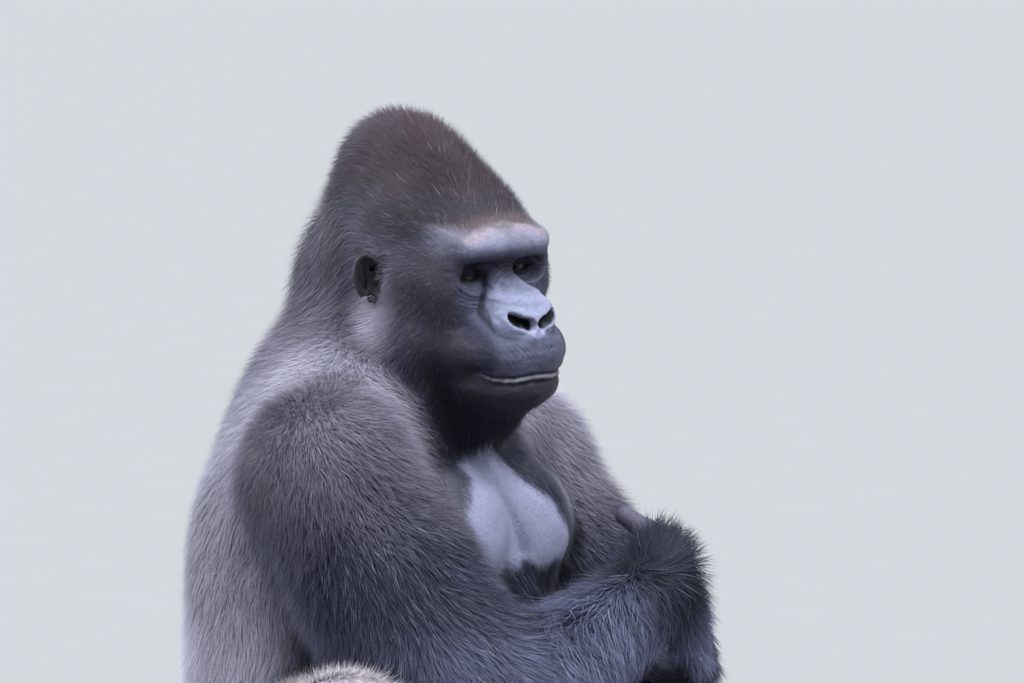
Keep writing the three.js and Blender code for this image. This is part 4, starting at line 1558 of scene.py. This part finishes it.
def eye_mesh(side):
    """An eyeball about its line of sight, with the cornea's low bulge, and rings of colour."""
    spokes = 64
    angle = np.concatenate([np.linspace(0, np.radians(60), 36), np.linspace(np.radians(66), np.pi, 13)])[1:-1]
    turn = np.linspace(0, 2 * np.pi, spokes, endpoint=False)
    out = EYE_RADIUS * np.sin(angle)
    along = EYE_RADIUS * np.cos(angle)
    along = along + CORNEA_BULGE * np.clip(1 - (out / CORNEA) ** 2, 0, 1) ** 1.2 * (angle < np.pi / 2)
    x, y = (out[:, None] * aside for aside in (np.cos(turn), np.sin(turn)))
    local = np.stack([x, y, along[:, None] + 0 * turn], -1).reshape(-1, 3)
    local = np.vstack([local, [0, 0, EYE_RADIUS + CORNEA_BULGE], [0, 0, -EYE_RADIUS]])
    right = unit(np.cross(GAZE, vec(0, 0, 1)))
    axes = np.stack([right, np.cross(right, GAZE), GAZE])
    sign = 1 if side == "left" else -1
    points = from_head(local @ axes + EYE_MIDDLE + sign * EYE_SIDE)
    faces = []
    count = len(angle)
    for i in range(count - 1):
        for j in range(spokes):
            k = (j + 1) % spokes
            faces.append((i * spokes + j, (i + 1) * spokes + j, (i + 1) * spokes + k, i * spokes + k))
    top, bottom = count * spokes, count * spokes + 1
    for j in range(spokes):
        k = (j + 1) % spokes
        faces.append((top, j, k))
        faces.append((bottom, (count - 1) * spokes + k, (count - 1) * spokes + j))

    r = np.hypot(local[:, 0], local[:, 1]) + 30 * (local[:, 2] < 0)
    spoke = np.arctan2(local[:, 1], local[:, 0])
    streak = 1 + 0.22 * np.sin(23 * spoke) * np.sin(9 * spoke + 1)
    iris = painted(IRIS_BROWN * streak[:, None], IRIS_CENTRE, fade(-r, -5.2, -3.4) * 0.7)
    colour = layered(
        np.tile(EYE_WHITE, (len(local), 1)),
        (EYE_CORNER, fade(r, 8.5, 13)),
        (iris, fade(-r, -IRIS - 0.5, -IRIS + 0.3)),
        (IRIS_RIM, bump(r - IRIS, 0.75) * 0.9),
        (PUPIL_BLACK, fade(-r, -PUPIL - 0.25, -PUPIL + 0.25)),
    )
    mesh = mesh_from("eye_" + side + "_ball", points, faces)
    colour_layer(mesh, "eye_colour", colour)
    return mesh


def nail_plate(tip, along, back, radius, length):
    """A curved nail: a thin shell on the back of a finger's end."""
    across = np.cross(along, back)
    rows, columns = 9, 9
    u = np.linspace(-1, 1, columns)
    v = np.linspace(0, 1, rows)
    uu, vv = np.meshgrid(u, v)
    narrow = np.sqrt(np.clip(1 - (2 * vv - 1) ** 2 * 0.45, 0, 1))
    bend = np.radians(NAIL_BEND) * uu * narrow
    layers = []
    for lift in (NAIL_OUTSIDE, NAIL_INSIDE):
        r = radius + lift - 1.6 * np.abs(uu) ** 3
        place = (tip + across * (np.sin(bend) * r)[..., None] + back * (np.cos(bend) * r)[..., None]
                 + along * ((vv - 0.62) * length - 0.16 * length * uu ** 2 * (2 * vv - 1))[..., None]
                 - back * (2.2 * vv ** 3)[..., None])
        layers.append(place.reshape(-1, 3))
    points = np.vstack(layers)
    n = rows * columns
    faces = []
    for i in range(rows - 1):
        for j in range(columns - 1):
            a = i * columns + j
            face = (a, a + 1, a + columns + 1, a + columns)
            faces.append(face)
            faces.append(tuple(n + k for k in reversed(face)))
    edge = [
        *range(columns),
        *(i * columns + columns - 1 for i in range(1, rows)),
        *((rows - 1) * columns + j for j in range(columns - 2, -1, -1)),
        *(i * columns for i in range(rows - 2, 0, -1)),
    ]
    for a, b in zip(edge, edge[1:] + edge[:1]):
        faces.append((b, a, n + a, n + b))
    shade = np.concatenate([0.7 + 0.5 * vv.ravel()] * 2)
    return points, faces, NAIL_GREY * shade[:, None]


def nails_mesh():
    points, faces, colours = [], [], []

    def add(tip, along, back, radius, length):
        start = sum(len(p) for p in points)
        along = unit(along)
        back = unit(back - along * (back @ along))
        p, f, c = nail_plate(tip, along, back, radius, length)
        points.append(p)
        faces.extend(tuple(start + i for i in face) for face in f)
        colours.append(c)

    for arm in ARMS.values():
        *_, back = hand_axes(arm)
        for _, middle, tip in finger_joints(arm):
            add(tip, tip - middle, back, *FINGER_NAIL)
        _, middle, tip = arm["thumb"]
        sideways = np.cross(tip - middle, middle - arm["wrist"])
        add(tip, tip - middle, -np.cross(tip - middle, sideways), *THUMB_NAIL)
    for leg in LEGS.values():
        heel, turn = foot_axes(leg)
        up = vec(0, 0, 1)
        for i in range(4):
            root, tip = toe_ends(i)
            add(heel + turn @ tip, turn @ (tip - root), up, *TOE_NAIL)
        add(heel + turn @ BIG_TOE[2], turn @ (BIG_TOE[2] - BIG_TOE[1]), up, *BIG_TOE_NAIL)
    mesh = mesh_from("nails", np.vstack(points), faces)
    colour_layer(mesh, "nail_colour", np.vstack(colours))
    return mesh


# ---- Camera, light and stage ----

AIM = vec(0, -211, 678)
CAMERA_AZIMUTH = -60
CAMERA_ELEVATION = 4
CAMERA_DISTANCE = 7.0
LENS = 204
SENSOR = 36
FLOOR_RADIUS = 150.0
FLOOR_DROP = 0.0005  # how far the floor lies under the feet, so that the two don't flicker
FLOOR_COLOUR = (0.225, 0.23, 0.235)
SKY_COLOUR = (0.84, 0.88, 0.95, 1)
SKY_STRENGTH = 0.6


def direction(azimuth, elevation):
    """From the object towards a viewer or a light; azimuth 0 is the front, and degrees go to its left."""
    a, e = np.radians([azimuth, elevation])
    return vec(np.sin(a) * np.cos(e), -np.cos(a) * np.cos(e), np.sin(e))


def facing(back):
    return Vector(back).to_track_quat("Z", "Y").to_euler()


def add_camera():
    back = direction(CAMERA_AZIMUTH, CAMERA_ELEVATION)
    data = bpy.data.cameras.new("camera")
    data.lens = LENS
    data.sensor_width = SENSOR
    data.clip_start = 0.1
    data.clip_end = 2 * FLOOR_RADIUS
    camera = bpy.data.objects.new("camera", data)
    camera.location = to_metres(AIM) + back * CAMERA_DISTANCE
    camera.rotation_euler = facing(back)
    bpy.context.scene.collection.objects.link(camera)
    bpy.context.scene.camera = camera


def add_light(name, azimuth, elevation, spread, strength, colour):
    """A soft light from one part of the sky; its spread is in degrees."""
    data = bpy.data.lights.new(name, "SUN")
    data.energy = strength
    data.angle = math.radians(spread)
    data.color = colour
    light = bpy.data.objects.new(name, data)
    light.rotation_euler = facing(direction(azimuth, elevation))
    bpy.context.scene.collection.objects.link(light)


def add_stage():
    """A pale round floor that reaches far past the camera's view."""
    spokes = 96
    turn = np.linspace(0, 2 * np.pi, spokes, endpoint=False)
    radii = (2.0, 8.0, 30.0, FLOOR_RADIUS)
    points = [(0, 0, -FLOOR_DROP)]
    points += [(r * math.cos(t), r * math.sin(t), -FLOOR_DROP) for r in radii for t in turn]
    faces = [(0, 1 + j, 1 + (j + 1) % spokes) for j in range(spokes)]
    for i in range(len(radii) - 1):
        near, far = 1 + i * spokes, 1 + (i + 1) * spokes
        faces += [(near + j, far + j, far + (j + 1) % spokes, near + (j + 1) % spokes) for j in range(spokes)]
    mesh = bpy.data.meshes.new("floor")
    mesh.from_pydata(points, [], faces)
    mesh.materials.append(stage_material("pale_floor", FLOOR_COLOUR))
    floor = bpy.data.objects.new("floor", mesh)
    bpy.context.scene.collection.objects.link(floor)


def add_lights():
    add_light("sky_light", -22, 62, 60, 7.2, (0.95, 0.97, 1.0))
    add_light("rim_light", -165, 38, 40, 2.4, (0.97, 0.98, 1.0))
    add_light("front_light", -95, 20, 60, 0.7, (1.0, 0.99, 0.98))
    world = bpy.data.worlds.new("world")
    world.use_nodes = True
    background = world.node_tree.nodes["Background"]
    background.inputs["Color"].default_value = SKY_COLOUR
    background.inputs["Strength"].default_value = SKY_STRENGTH
    bpy.context.scene.world = world
    bpy.context.scene.view_settings.view_transform = "Standard"


# ---- The whole ----

FLESH = ("muzzle", "jaw", "head", "ear_right", "ear_left", "neck", "chest", "belly_and_rump",
         "upper_arm_right", "forearm_right", "hand_right", "upper_arm_left", "forearm_left", "hand_left",
         "thigh_right", "shank_right", "foot_right", "thigh_left", "shank_left", "foot_left")


def build():
    add_camera()
    verts, faces, base = skin_mesh()
    skin = mesh_from("skin", verts, faces)
    colour_layer(skin, "skin_colour", skin_colour(verts, masks_of(verts)))
    add_piece("skin", skin, skin_material(), FLESH)

    tufts = Tufts(*base)
    coat = coat_material()
    for name, part, chosen in tufts.groups():
        points, triangles, colours, places, normals = tufts.mesh_of(chosen)
        mesh = mesh_from(name, points, triangles)
        mesh.normals_split_custom_set_from_vertices(normals.astype(np.float32))
        colour_layer(mesh, "coat_colour", colours)
        layer = mesh.uv_layers.new(name="OFBake")
        layer.data.foreach_set("uv", places[triangles.ravel()].astype(np.float32).ravel())
        add_piece(name, mesh, coat)

    eye = eye_material()
    for side in ("right", "left"):
        add_piece("eyeball_" + side, eye_mesh(side), eye, ("eye_" + side,))
    add_piece("nails", nails_mesh(), nail_material())
    add_lights()
    add_stage()


build()
